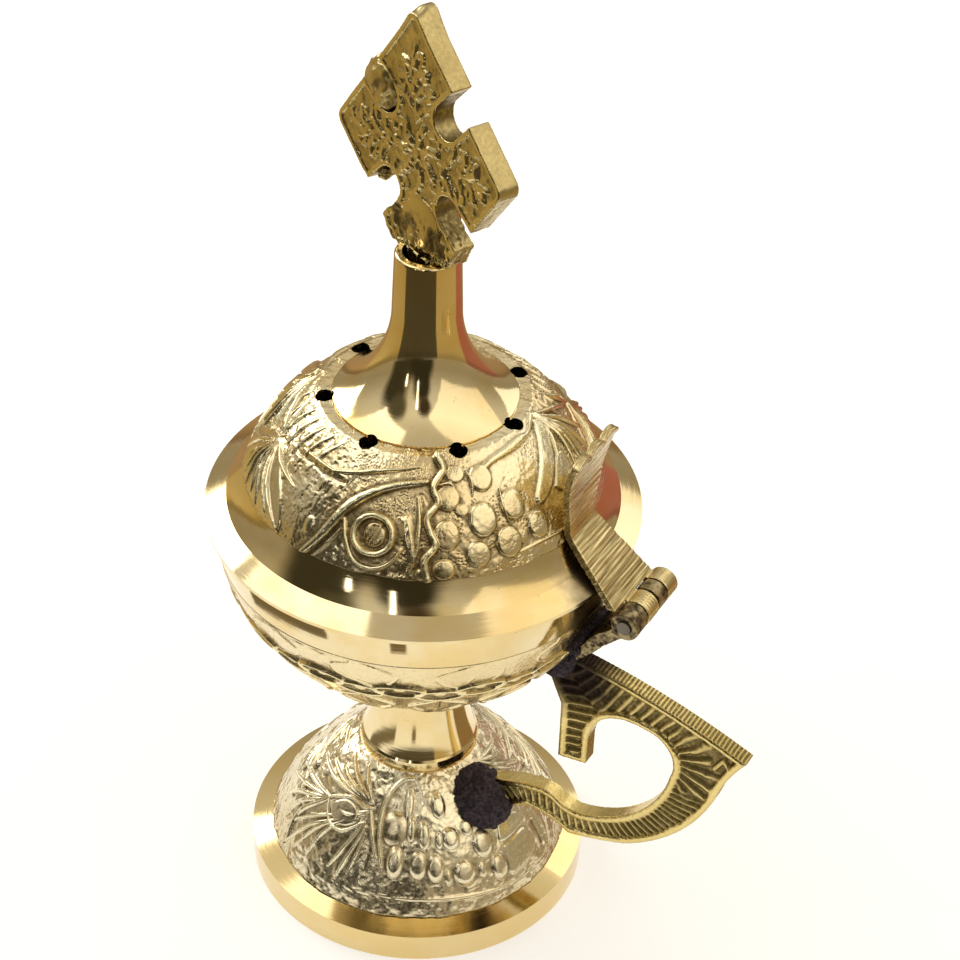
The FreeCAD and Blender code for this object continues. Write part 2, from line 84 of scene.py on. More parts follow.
def nearest_speck(x, y, cell, seed, columns):
    """Distance, in cells, to the nearest of one random point per cell; x wraps after columns."""
    rng = np.random.RandomState(seed)
    jitter = rng.uniform(0.1, 0.9, (columns, 256, 2))
    gx, gy = x / cell, y / cell
    cx, cy = np.floor(gx).astype(int), np.floor(gy).astype(int)
    best = np.full(np.shape(gx), 9.0)
    for ox in (-1, 0, 1):
        for oy in (-1, 0, 1):
            spot = jitter[(cx + ox) % columns, (cy + oy) % 256]
            reach = np.hypot(cx + ox + spot[..., 0] - gx, cy + oy + spot[..., 1] - gy)
            best = np.minimum(best, reach)
    return best


def ramp(value, low, high):
    """Smooth step from 0 at low to 1 at high."""
    part = np.clip((value - low) / (high - low), 0, 1)
    return part * part * (3 - 2 * part)


# ---------------------------------------------------------------- meshes

def mesh_object(name, points, quads, **marks):
    """Mesh from points in mm and four-sided faces, with a float per point for each mark."""
    mesh = bpy.data.meshes.new(name)
    mesh.vertices.add(len(points))
    mesh.vertices.foreach_set("co", (np.asarray(points, float) * MM).ravel())
    mesh.loops.add(quads.size)
    mesh.loops.foreach_set("vertex_index", quads.ravel().astype(np.int32))
    mesh.polygons.add(len(quads))
    mesh.polygons.foreach_set("loop_start", np.arange(0, quads.size, 4, dtype=np.int32))
    mesh.update(calc_edges=True)
    mesh.validate()
    thing = bpy.data.objects.new(name, mesh)
    bpy.context.scene.collection.objects.link(thing)
    for mark, values in marks.items():
        set_mark(thing, mark, values)
    mesh.polygons.foreach_set("use_smooth", np.ones(len(mesh.polygons), bool))
    return thing


def set_mark(thing, mark, values):
    attribute = thing.data.attributes.new(mark, "FLOAT", "POINT")
    attribute.data.foreach_set("value", np.asarray(values, np.float32).ravel())


def points_of(thing):
    """Vertex places in mm."""
    flat = np.zeros(len(thing.data.vertices) * 3)
    thing.data.vertices.foreach_get("co", flat)
    return flat.reshape(-1, 3) / MM


def normals_of(thing):
    flat = np.zeros(len(thing.data.vertices) * 3)
    thing.data.vertices.foreach_get("normal", flat)
    return flat.reshape(-1, 3)


def set_points(thing, points):
    thing.data.vertices.foreach_set("co", (points * MM).ravel())
    thing.data.update()


def carve(thing, points, crevice, crest):
    """Move the vertices, and mark from 0 to 1 where dirt lies (on the cross also painted shade) and
    where wear shows.
    """
    set_points(thing, points)
    set_mark(thing, "crevice", np.clip(crevice, 0, 1))
    set_mark(thing, "crest", np.clip(crest, 0, 1))
    return thing


def fine_copy(name, node, voxel, smoothing):
    """An even, fine mesh of a CAD node, to carve."""
    thing = bpy.data.objects.new(name, nodes[node].data.copy())
    bpy.context.scene.collection.objects.link(thing)
    remesh = thing.modifiers.new("even", "REMESH")
    remesh.mode = "VOXEL"
    remesh.voxel_size = voxel * MM
    smooth = thing.modifiers.new("soft", "SMOOTH")
    smooth.factor = 0.5
    smooth.iterations = smoothing
    graph = bpy.context.evaluated_depsgraph_get()
    mesh = bpy.data.meshes.new_from_object(thing.evaluated_get(graph))
    mesh.name = name
    thing.modifiers.clear()
    thing.data = mesh
    mesh.materials.clear()
    mesh.polygons.foreach_set("use_smooth", np.ones(len(mesh.polygons), bool))
    return thing


def distance_to(points, rim):
    """Distance from each 2-D point to the nearest rim point."""
    tree = kdtree.KDTree(len(rim))
    for index, (a, b) in enumerate(rim):
        tree.insert((a, b, 0), index)
    tree.balance()
    return np.array([tree.find((a, b, 0))[2] for a, b in points])


def smooth_path(path, steps=8):
    """Catmull-Rom curve through the points of a path."""
    path = np.asarray(path, float)
    ends = np.vstack([2 * path[0] - path[1], path, 2 * path[-1] - path[-2]])
    part = np.linspace(0, 1, steps, endpoint=False)[:, None]
    spans = []
    for p0, p1, p2, p3 in zip(ends, ends[1:], ends[2:], ends[3:]):
        spans.append(0.5 * (2 * p1 + (p2 - p0) * part + (2 * p0 - 5 * p1 + 4 * p2 - p3) * part ** 2
                            + (3 * p1 - p0 - 3 * p2 + p3) * part ** 3))
    return np.vstack(spans + [path[-1:]])


def along_path(x, y, path):
    """Distance to a polyline, run along it, and signed offset from it, for arrays x and y."""
    best = np.full(x.shape, 1e3)
    run_at = np.zeros(x.shape)
    side_at = np.zeros(x.shape)
    run = 0.0
    for start, end in zip(path, path[1:]):
        step = end - start
        length = math.hypot(*step)
        if length < 1e-9:
            continue
        way = step / length
        dx, dy = x - start[0], y - start[1]
        t = np.clip(dx * way[0] + dy * way[1], 0, length)
        reach = np.hypot(dx - t * way[0], dy - t * way[1])
        closer = reach < best
        best = np.where(closer, reach, best)
        run_at = np.where(closer, run + t, run_at)
        side_at = np.where(closer, way[0] * dy - way[1] * dx, side_at)
        run += length
    return best, run_at, side_at, run


# ---------------------------------------------------------------- relief on turned surfaces

class Relief:
    """Relief on a turned surface, laid out in degrees round the axis and mm up its profile.

    A path is a list of such places. shift turns what is laid out after it is set.
    """

    def __init__(self, profile, columns, rows, seed, ragged=0.0):
        steps = np.hypot(*np.diff(profile, axis=0).T)
        self.run = np.concatenate([[0], np.cumsum(steps)])
        self.profile = profile
        self.length = self.run[-1]
        turn = np.linspace(-180, 180, columns, endpoint=False)
        self.turn = np.tile(turn, (rows, 1))
        around = np.radians(turn)
        ring = np.stack([np.cos(around) * 20, np.sin(around) * 20, 0 * around], -1)
        low = ragged * (0.5 + 0.5 * rough(ring, 2.4, seed + 90, 3))
        part = np.linspace(0, 1, rows)[:, None]
        self.up = low[None, :] * (1 - part) + part * self.length
        self.radius = np.interp(self.up, self.run, profile[:, 0])
        self.level = np.interp(self.up, self.run, profile[:, 1])
        way = np.gradient(profile, axis=0)
        way /= np.hypot(*way.T)[:, None]
        self.out = np.interp(self.up, self.run, way[:, 1])
        self.rise = np.interp(self.up, self.run, -way[:, 0])
        self.around = np.radians(self.turn)
        self.place = self.points(0)
        self.raised = np.zeros_like(self.up)
        self.carved = np.zeros_like(self.up)
        self.shift = 0

    def points(self, height):
        reach = self.radius + self.out * height
        return np.stack([reach * np.cos(self.around), reach * np.sin(self.around),
                         self.level + self.rise * height], -1)

    def across(self, turn):
        return np.radians((self.turn - turn + 180) % 360 - 180) * self.radius

    def bead(self, turn, up, wide, tall, high, flat=0.8, lean=0.0, edge=0.4):
        """Oval drop; flat cuts its top, a small edge makes its sides steep."""
        dx, dy = self.across(turn + self.shift), self.up - up
        dx, dy = (dx * math.cos(lean) + dy * math.sin(lean),
                  dy * math.cos(lean) - dx * math.sin(lean))
        dome = high * np.clip(1 - (dx / wide) ** 2 - (dy / tall) ** 2, 0, 1) ** edge
        cap = high * flat
        dome = np.where(dome > cap, cap + (dome - cap) * 0.35, dome)
        self.raised = np.maximum(self.raised, dome)

    def near(self, path):
        """Where the surface is close to a path, and what along_path gives there."""
        path = smooth_path(path) + (self.shift, 0)
        middle = path[:, 0].mean()
        radius = np.interp(path[:, 1], self.run, self.profile[:, 0])
        line = np.stack([np.radians(path[:, 0] - middle) * radius, path[:, 1]], -1)
        dx = self.across(middle)
        low, high = line.min(0) - 2.5, line.max(0) + 2.5
        window = (dx > low[0]) & (dx < high[0]) & (self.up > low[1]) & (self.up < high[1])
        return window, along_path(dx[window], self.up[window], line)

    def ridge(self, path, wide, high, taper=(0.5, 1.0, 0.4), sharp=1.0):
        """Rounded ridge along a path; taper scales its width at the start, middle and end."""
        window, (reach, run, _, total) = self.near(path)
        half = wide * np.interp(run / max(total, 1e-6), (0, 0.5, 1), taper)
        bump = high * np.sqrt(np.clip(1 - (reach / half) ** 2, 0, 1)) ** sharp
        bump *= np.clip(half / wide, 0.3, 1)
        self.raised[window] = np.maximum(self.raised[window], bump)

    def groove(self, path, wide, deep):
        window, (reach, *_) = self.near(path)
        self.carved[window] = np.maximum(self.carved[window], deep * np.exp(-(reach / wide) ** 2))

    def plate(self, path, high, soft=0.35):
        """Raised flat area inside a closed path."""
        path = smooth_path(list(path) + [path[0]], 5) + (self.shift, 0)
        middle = path[:, 0].mean()
        radius = np.interp(path[:, 1], self.run, self.profile[:, 0])
        line = np.stack([np.radians(path[:, 0] - middle) * radius, path[:, 1]], -1)
        dx = self.across(middle)
        low, top = line.min(0) - 1, line.max(0) + 1
        window = (dx > low[0]) & (dx < top[0]) & (self.up > low[1]) & (self.up < top[1])
        x, y = dx[window], self.up[window]
        reach = along_path(x, y, line)[0]
        inside = np.zeros(x.shape, bool)
        for (x0, y0), (x1, y1) in zip(line, line[1:]):
            crosses = (y0 > y) != (y1 > y)
            with np.errstate(divide="ignore", invalid="ignore"):
                at = x0 + (y - y0) * (x1 - x0) / (y1 - y0)
            inside ^= crosses & (x < at)
        depth = np.where(inside, reach, -reach)
        self.raised[window] = np.maximum(self.raised[window], high * ramp(depth, -0.1, soft))

    def fan(self, root, tips, wide, high, bow=0.0):
        """Ribs of a leaf that spread from its root."""
        for tip in tips:
            root_at, tip_at = np.array(root, float), np.array(tip, float)
            middle = (root_at + tip_at) / 2
            middle[0] += bow * (tip_at[1] - root_at[1])
            self.ridge([root_at, middle, tip_at], wide, high, (0.45, 1.0, 0.55))

    def build(self, ground, texture, crevice=0.35):
        """Put the layers together and make the mesh, with crevice and height marks."""
        cover = ramp(self.raised, 0.02, 0.2)
        height = (ground * (1 - 0.7 * cover) + self.raised - self.carved
                  + texture * (1 - 0.8 * cover))
        soft = height
        for _ in range(4):
            soft = (soft + np.roll(soft, 3, 1) + np.roll(soft, -3, 1)) / 3
            padded = np.pad(soft, ((3, 3), (0, 0)), "edge")
            soft = (padded[3:-3] + padded[:-6] + padded[6:]) / 3
        cavity = np.clip((soft - height) / crevice, 0, 1)
        edge = np.clip((height - soft) / crevice, 0, 1)
        grid = self.points(np.maximum(height, 0.03))
        low, top = self.points(-0.25)[:1], self.points(-0.25)[-1:]
        grid = np.concatenate([low, grid, top])
        cavity = np.concatenate([cavity[:1], cavity, cavity[-1:]])
        edge = np.concatenate([edge[:1], edge, edge[-1:]])
        rows, columns = grid.shape[:2]
        index = np.arange(rows * columns).reshape(rows, columns)
        right = np.roll(index, -1, 1)
        quads = np.stack([index[:-1], right[:-1], right[1:], index[1:]], -1).reshape(-1, 4)
        return grid.reshape(-1, 3), quads, cavity.ravel(), edge.ravel()


def arc_profile(start, end, bulge, count=160):
    """Points (radius, height) on an arc that bulges away from the axis."""
    start, end = np.array(start, float), np.array(end, float)
    middle, chord = (start + end) / 2, end - start
    length = math.hypot(*chord)
    normal = np.array([chord[1], -chord[0]]) / length
    centre = middle - normal * math.sqrt(bulge ** 2 - (length / 2) ** 2)
    first = math.atan2(*(start - centre)[::-1])
    last = math.atan2(*(end - centre)[::-1])
    angles = np.linspace(first, last, count)
    return centre + bulge * np.stack([np.cos(angles), np.sin(angles)], -1)


# ---------------------------------------------------------------- lid relief

def vine_group(relief):
    """A bunch of grapes, a tendril curled into a ring, and the vines between."""
    for a, s, wide, tall, high in (
            (-35, 16.0, 2.0, 2.3, 0.85), (-38.5, 9.3, 2.4, 2.9, 1.0), (-25.5, 10.3, 2.1, 2.6, 0.95),
            (-31, 4.7, 2.3, 2.7, 1.0), (-18.6, 5.5, 2.0, 2.4, 0.85), (-42, 3.9, 2.1, 2.2, 0.85),
            (-52, 7.6, 2.2, 2.6, 0.8), (-50.5, 13.6, 2.1, 2.1, 0.8), (-53.5, 2.0, 1.9, 1.7, 0.75),
            (-46, 17.4, 1.6, 1.5, 0.6), (-45.5, 11.4, 1.2, 1.1, 0.5), (-26, 4.9, 1.3, 1.2, 0.45)):
        relief.bead(a, s, wide, tall, high, flat=0.6, edge=0.4)
    # rough fused seam down the left of the bunch
    seam = [(-53.5, 20.4), (-51.5, 18.2), (-56, 15.6), (-54.5, 13.0), (-58.5, 10.6),
            (-57.5, 8.2), (-56, 6.0), (-59.5, 3.6), (-58.5, 0.5)]
    relief.ridge(seam, 0.75, 0.95, (1.0, 0.8, 1.1))
    relief.ridge([(-54, 15.8), (-49, 15.9), (-46.5, 14.6)], 0.45, 0.7)
    relief.ridge([(-28.5, 13.6), (-29.8, 10.8), (-29.0, 7.6)], 0.35, 0.7)
    relief.ridge([(-41, 17.9), (-39.5, 15.6), (-40.5, 13.4)], 0.4, 0.7)
    # curled tendril with a knotted middle
    ring = [(-77 + 6.4 * math.sin(t) * 1.05, 7.0 + 3.15 * math.cos(t))
            for t in np.linspace(0, 2 * math.pi, 17)]
    relief.ridge(ring, 0.62, 0.95, (1.0, 1.0, 1.0))
    relief.bead(-76.6, 7.0, 1.9, 2.1, 0.6, flat=0.7, lean=0.2)
    for shift in (-0.9, 0.0, 0.9):
        relief.groove([(-78.2 + shift * 1.6, 5.4), (-75.6 + shift * 1.6, 8.4)], 0.22, 0.3)
    relief.ridge([(-88.5, 8.2), (-85.5, 4.9), (-81.5, 2.1), (-76, 1.5), (-71, 2.6),
                  (-67, 5.2)], 0.5, 0.7, (0.7, 1.1, 0.5))
    # smooth leaf blade beside the curl
    relief.plate([(-69, 10.4), (-64.5, 10.6), (-62.0, 5.2), (-63.5, 3.2), (-66.4, 5.6)],
                 0.42, 0.8)
    relief.ridge([(-62.2, 13.8), (-61.4, 9.5), (-62.4, 4.4), (-64.5, 1.4)], 0.5, 0.6)
    # main vine sweeping up from the lower left, doubled near its foot
    relief.ridge([(-99.5, 0.2), (-95, 4.0), (-90.5, 8.6), (-86, 11.6), (-79, 14.0),
                  (-70, 15.6), (-59, 16.4)], 0.8, 0.95, (0.8, 1.2, 0.7))
    relief.ridge([(-96.0, 0.3), (-91.5, 3.6), (-87.4, 7.8)], 0.42, 0.7)
    relief.ridge([(-101, 14.6), (-90, 16.0), (-80, 17.4), (-62, 18.9)], 0.55, 0.6)
    relief.groove([(-121, 13.4), (-112, 13.8), (-104, 13.5), (-94, 13.7)], 0.3, 0.4)
    relief.ridge([(-121, 14.4), (-110, 14.7), (-95, 14.5)], 0.4, 0.4)
    relief.bead(-100.5, 4.9, 0.9, 1.5, 0.45, flat=0.6)
    relief.bead(-60.5, 1.3, 1.0, 1.1, 0.7)
    # banded plates over the bunch
    relief.ridge([(-33, 17.4), (-26, 18.3), (-14, 18.8), (0, 19.2), (12, 20.2)],
                 0.85, 0.55, (0.7, 1.0, 0.8))


def leaf_down(relief):
    """Vine leaf hanging from its stalk, ribs spread downward."""
    root = (-136, 11.6)
    tips = [(-136 + a, s) for a, s in
            ((-18, 2.2), (-12, 1.0), (-6.5, 1.2), (-1, 0.8), (4.5, 1.5), (10, 1.0), (16, 1.6),
             (23.5, 0.8))]
    relief.plate([(-136 + a, s) for a, s in
                  ((-20, 7), (-21, 2.0), (-12, 0.4), (0, 0.3), (12, 0.4), (25, 0.3), (22, 5),
                   (12, 9.4), (2, 12.2), (-10, 11))], 0.3, 0.6)
    relief.fan(root, tips, 0.62, 0.85, bow=0.25)
    relief.ridge([root, (-125, 9.8), (-114, 8.6)], 0.5, 0.75)
    relief.ridge([root, (-140, 15), (-146, 19.6)], 0.6, 0.7)
    for a in range(-24, 28, 6):
        relief.ridge([(-137 + a, 12.8 + 0.8 * math.sin(a)), (-138 + a * 1.2, 16.4),
                      (-136 + a * 1.35, 19.6)],
                     0.42, 0.42, (0.6, 1.0, 0.5))


def leaf_up(relief):
    """Leaf rooted at the neck, ribs fanned down to the rim, with a pitted blade beside it."""
    relief.plate([(10, 20), (-4, 14.5), (-16, 9.6), (-12, 8.2), (2, 12.4), (13, 18.0)], 0.7, 0.5)
    relief.plate([(-6, 9.2), (2, 12.6), (9, 12.8), (8, 9.4), (2, 7.2), (-3, 7.6)], 0.55, 0.5)
    relief.fan((13, 20.3), [(4, 11.6), (10.5, 8.6), (15.5, 8.2), (20.5, 6.8), (26, 7.6), (33, 9.6),
                            (40, 13.0)], 0.55, 0.85, bow=-0.2)
    relief.ridge([(-2, 7.2), (6, 8.6), (14, 7.2), (22, 5.6), (30, 6.8), (38, 9.0), (45, 13)],
                 0.5, 0.75)
    relief.ridge([(-30, 2.4), (-16, 2.6), (0, 1.8), (20, 2.2), (40, 1.6)], 0.45, 0.4)


def make_lid_relief():
    slope = arc_profile((31.05, 89.6), (LID_TOP_RADIUS, LID_TOP), 38.0)
    level_top = np.stack([np.linspace(LID_TOP_RADIUS - 0.2, NECK_FOOT, 14),
                          np.full(14, LID_TOP)], -1)
    relief = Relief(np.vstack([slope, level_top]), 1180, 176, 11, ragged=0.45)
    for relief.shift in (0, 180):
        vine_group(relief)
        leaf_down(relief)
        leaf_up(relief)
    grain = rough(relief.place, 1.3, 21, 3)
    fine = rough(relief.place, 0.45, 31, 2)
    x = (relief.turn + 180) / 360 * 300
    pits = nearest_speck(x, relief.up * 1.76, 1.0, 5, 300)
    right = np.maximum.reduce([ramp(30 - np.abs(relief.across(turn)), 0, 6) for turn in (-18, 162)])
    left = 1 - right
    ground = 0.2 + 0.09 * grain
    # chased streaks high on the left, pits on the right
    streaks = rough(np.stack([relief.across(-120) * 1.0, relief.up * 0.22,
                              0 * relief.up], -1), 0.9, 41, 2)
    sparse = ramp(rough(relief.place, 2.2, 44, 2), -0.1, 0.5)
    texture = (left * (0.035 * fine + 0.12 * streaks * ramp(relief.up, 6, 12))
               + right * (0.02 * fine - 0.22 * sparse * ramp(-pits, -0.3, -0.12)))
    # each casting edge frays a little; the neck and the vents keep clear metal round them
    relief.raised *= 1.25 * (1 + 0.05 * rough(relief.place, 0.9, 51, 2))
    spots = [VENT_CIRCLE * np.array([math.cos(math.radians(turn)), math.sin(math.radians(turn))])
             for turn in VENT_TURNS]
    clear = np.minimum.reduce([np.hypot(relief.place[..., 0] - spot[0],
                                        relief.place[..., 1] - spot[1]) for spot in spots])
    relief.raised *= ramp(clear, 1.6, 2.5) * ramp(relief.radius, 15.9, 16.7)
    points, quads, cavity, edge = relief.build(ground, texture)
    # the vents pass through: open the relief round each
    for spot in spots:
        way = points[:, :2] - spot
        reach = np.hypot(*way.T)
        inside = (reach < VENT_OPENING) & (points[:, 2] > 100)
        quads = quads[~inside[quads].all(1)]
        outward = way[inside] / np.maximum(reach[inside], 1e-6)[:, None]
        points[inside, :2] = spot + VENT_OPENING * outward
    return mesh_object("lid_relief", points, quads, crevice=cavity, crest=edge)


# ---------------------------------------------------------------- foot relief

def foot_group(relief):
    """A bunch of long grapes under a bent stalk, and the vine leaves on both its sides."""
    for a, s, wide, tall, high in (
            (-70.5, 10.1, 1.5, 3.0, 1.0), (-59.5, 9.9, 1.6, 2.6, 0.8), (-51.5, 9.2, 1.5, 2.6, 0.85),
            (-38.4, 7.5, 2.1, 2.4, 1.0), (-26.5, 11.6, 1.9, 2.7, 0.95), (-22, 6.1, 1.7, 2.5, 0.9),
            (-42.4, 14.2, 1.6, 2.1, 0.9), (-56.5, 15.3, 1.1, 2.7, 0.8), (-46.5, 20.4, 1.3, 2.4, 0.85),
            (-48.6, 14.2, 0.7, 1.6, 0.6), (-63.5, 16.4, 0.9, 2.4, 0.8), (-46.0, 7.2, 0.7, 1.4, 0.5),
            (-32.4, 15.4, 1.2, 1.7, 0.6), (-66, 20.5, 0.9, 3.2, 0.6), (-30, 7.0, 0.8, 1.5, 0.5)):
        relief.bead(a, s, wide * 1.08, tall * 1.05, high, flat=0.8, edge=0.65)
    relief.bead(-73, 16.2, 2.8, 3.4, 0.8, flat=0.9, edge=0.8)
    # bent stalk over the bunch and the stems to its left
    relief.ridge([(-64, 25.6), (-72, 25.2), (-79, 23.0), (-82, 19.5), (-80, 14.0),
                  (-76, 9.0)], 0.55, 0.8, (0.8, 1.1, 0.6))
    relief.ridge([(-90, 18.2), (-85, 15.0), (-79.5, 10.0)], 0.5, 0.75)
    relief.ridge([(-91, 15.6), (-95, 11.0), (-100.5, 5.2)], 0.5, 0.7)
    relief.ridge([(-89, 15.0), (-92.5, 9.5), (-96, 3.0)], 0.5, 0.75)
    relief.ridge([(-88, 13.8), (-90, 8.0), (-91.5, 4.4)], 0.4, 0.55)
    # leaf with a boat-shaped lobe and long ribs
    relief.plate([(-118, 15.4), (-110, 12.9), (-101, 12.7), (-93.5, 15.2), (-97, 18.0),
                  (-108, 18.3)], 0.55, 1.0)
    relief.ridge([(-119, 15.6), (-110, 12.6), (-101, 12.4), (-92, 15.4)], 0.5, 0.85)
    relief.ridge([(-118, 16.0), (-106, 18.4), (-94, 18.2), (-88, 18.6)], 0.5, 0.85)
    relief.ridge([(-112, 15.4), (-102, 15.5), (-92, 17.0)], 0.4, 0.8)
    relief.fan((-89, 18.4), [(-128, 1.6), (-121, 3.4), (-113, 4.6), (-134, 4.4)],
               0.5, 0.7, bow=0.5)
    relief.fan((-118, 15.8), [(-127, 2.2), (-137, 4.0), (-147, 6.2), (-156, 9.0),
                                (-160, 13.0)], 0.65, 0.75, bow=0.5)
    relief.fan((-90, 19.4), [(-112, 22.6), (-124, 21.6), (-138, 20.4), (-150, 18.4),
                               (-108, 25.0), (-128, 24.6)], 0.5, 0.7)
    for a, s in ((-140, 12.0), (-147, 15.4), (-134, 17.6), (-152, 12.2), (-143, 8.4), (-131, 11.0)):
        relief.bead(a, s, 0.9, 1.3, 0.6)
    # broad plates on the right with a slot, and leaf streaks under the stem
    relief.plate([(-16, 13.6), (-2, 13.4), (2, 10.4), (-17, 10.0)], 0.42, 0.5)
    relief.plate([(-17, 9.4), (-1, 9.6), (0.6, 5.0), (-17, 3.4)], 0.4, 0.5)
    relief.groove([(5.5, 8.6), (4.6, 4.0)], 0.5, 0.35)
    relief.ridge([(1.5, 9.4), (1.4, 3.6)], 0.45, 0.55)
    relief.ridge([(9.5, 10.4), (9.0, 5.0), (7.0, 3.2)], 0.5, 0.55)
    relief.fan((0, 24.6), [(14, 20.6), (25, 21.6), (34, 23.2), (20, 18.2), (30, 16.6)],
               0.5, 0.65)
    relief.fan((14, 17.0), [(20, 11.2), (27, 10.0), (35, 9.6), (42, 11.6)], 0.5, 0.65)
    relief.ridge([(-92, 3.2), (-70, 3.6), (-45, 3.3), (-20, 2.2), (12, 1.8)], 0.5, 0.35)


def make_foot_relief():
    profile = arc_profile((27.4, 6.7), (10.7, 27.2), 52.9)
    relief = Relief(profile, 1020, 190, 61, ragged=0.25)
    for relief.shift in (0, 180):
        foot_group(relief)
    relief.raised *= 1.1
    grain = rough(relief.place, 2.2, 71, 3)
    fine = rough(relief.place, 0.6, 81, 2)
    points, quads, cavity, edge = relief.build(0.28 + 0.17 * grain, 0.02 * fine)
    return mesh_object("foot_relief", points, quads, crevice=cavity, crest=edge)


# ---------------------------------------------------------------- bowl relief

def make_bowl_relief():
    level = np.linspace(47.6, 75.0, 200)
    radius = 37.0 * np.sqrt(1 - ((85.4 - level) / 39.8) ** 2)
    relief = Relief(np.stack([radius, level], -1), 1040, 185, 101)
    top = relief.length
    # pointed leaves side by side under the band, each with a rib
    for index in range(12):
        turn = index * 30 - 46
        tilt = 2.5 if index % 2 else -2.0
        outline = [(turn + tilt, top - 7.2), (turn - 7.5, top - 5.4), (turn - 9.0, top - 2.8),
                   (turn - 4, top - 1.3), (turn - tilt, top - 0.5), (turn + 4.4, top - 1.4),
                   (turn + 9.4, top - 3.1), (turn + 7.2, top - 5.6)]
        relief.plate(outline, 0.16, 0.8)
        relief.ridge(outline + outline[:1], 0.34, 0.36, (1, 0.7, 1))
        relief.ridge([(turn + tilt, top - 6.8), (turn - tilt * 0.4, top - 3.9),
                      (turn - tilt, top - 1.5)], 0.3, 0.34)
    # two rows of linked rings, and long petals below them
    for index in range(30):
        turn = index * 12 - 54
        low = top - 8.6 + (0.75 if index % 2 else -0.75)
        loop = [(turn + 7.4 * math.cos(t), low + 1.75 * math.sin(t))
                for t in np.linspace(0, 2 * math.pi, 13)]
        relief.ridge(loop, 0.5, 0.85 if index % 2 else 0.7, (1, 1, 1))
        relief.bead(turn, low, 1.0, 0.8, 0.4)
    for index in range(15):
        turn = index * 24 - 54
        relief.ridge([(turn, top - 11.6), (turn - 9, top - 15.4), (turn - 5, top - 20.4),
                      (turn, top - 25.4), (turn + 5, top - 20.4), (turn + 9, top - 15.4),
                      (turn, top - 11.6)], 0.55, 0.6, (1, 1, 1))
        relief.ridge([(turn, top - 13.4), (turn, top - 22.4)], 0.4, 0.4)
    fade = ramp(relief.up, top, top - 1.2)
    relief.raised *= fade * 0.9
    grain = rough(relief.place, 1.6, 111, 3)
    fine = rough(relief.place, 0.5, 121, 2)
    points, quads, cavity, edge = relief.build(
        (0.1 + 0.05 * grain) * fade, 0.02 * fine * fade, 0.25)
    return mesh_object("bowl_relief", points, quads, crevice=cavity, crest=edge)


# ---------------------------------------------------------------- cross

def cross_frame():
    """Axes of the cross (across, through and up the plate) and its middle, in mm."""
    axes = (Matrix.Rotation(math.radians(CROSS_TURNED), 3, "Z")
            @ Matrix.Rotation(math.radians(CROSS_BACK), 3, "X")
            @ Matrix.Rotation(math.radians(CROSS_SIDEWAYS), 3, "Y"))
    axes = np.array(axes)
    up = axes[:, 2]
    return axes, np.array([0, 0, NECK_MOUTH]) + up * ((CROSS_CENTRE - NECK_MOUTH) / up[2])


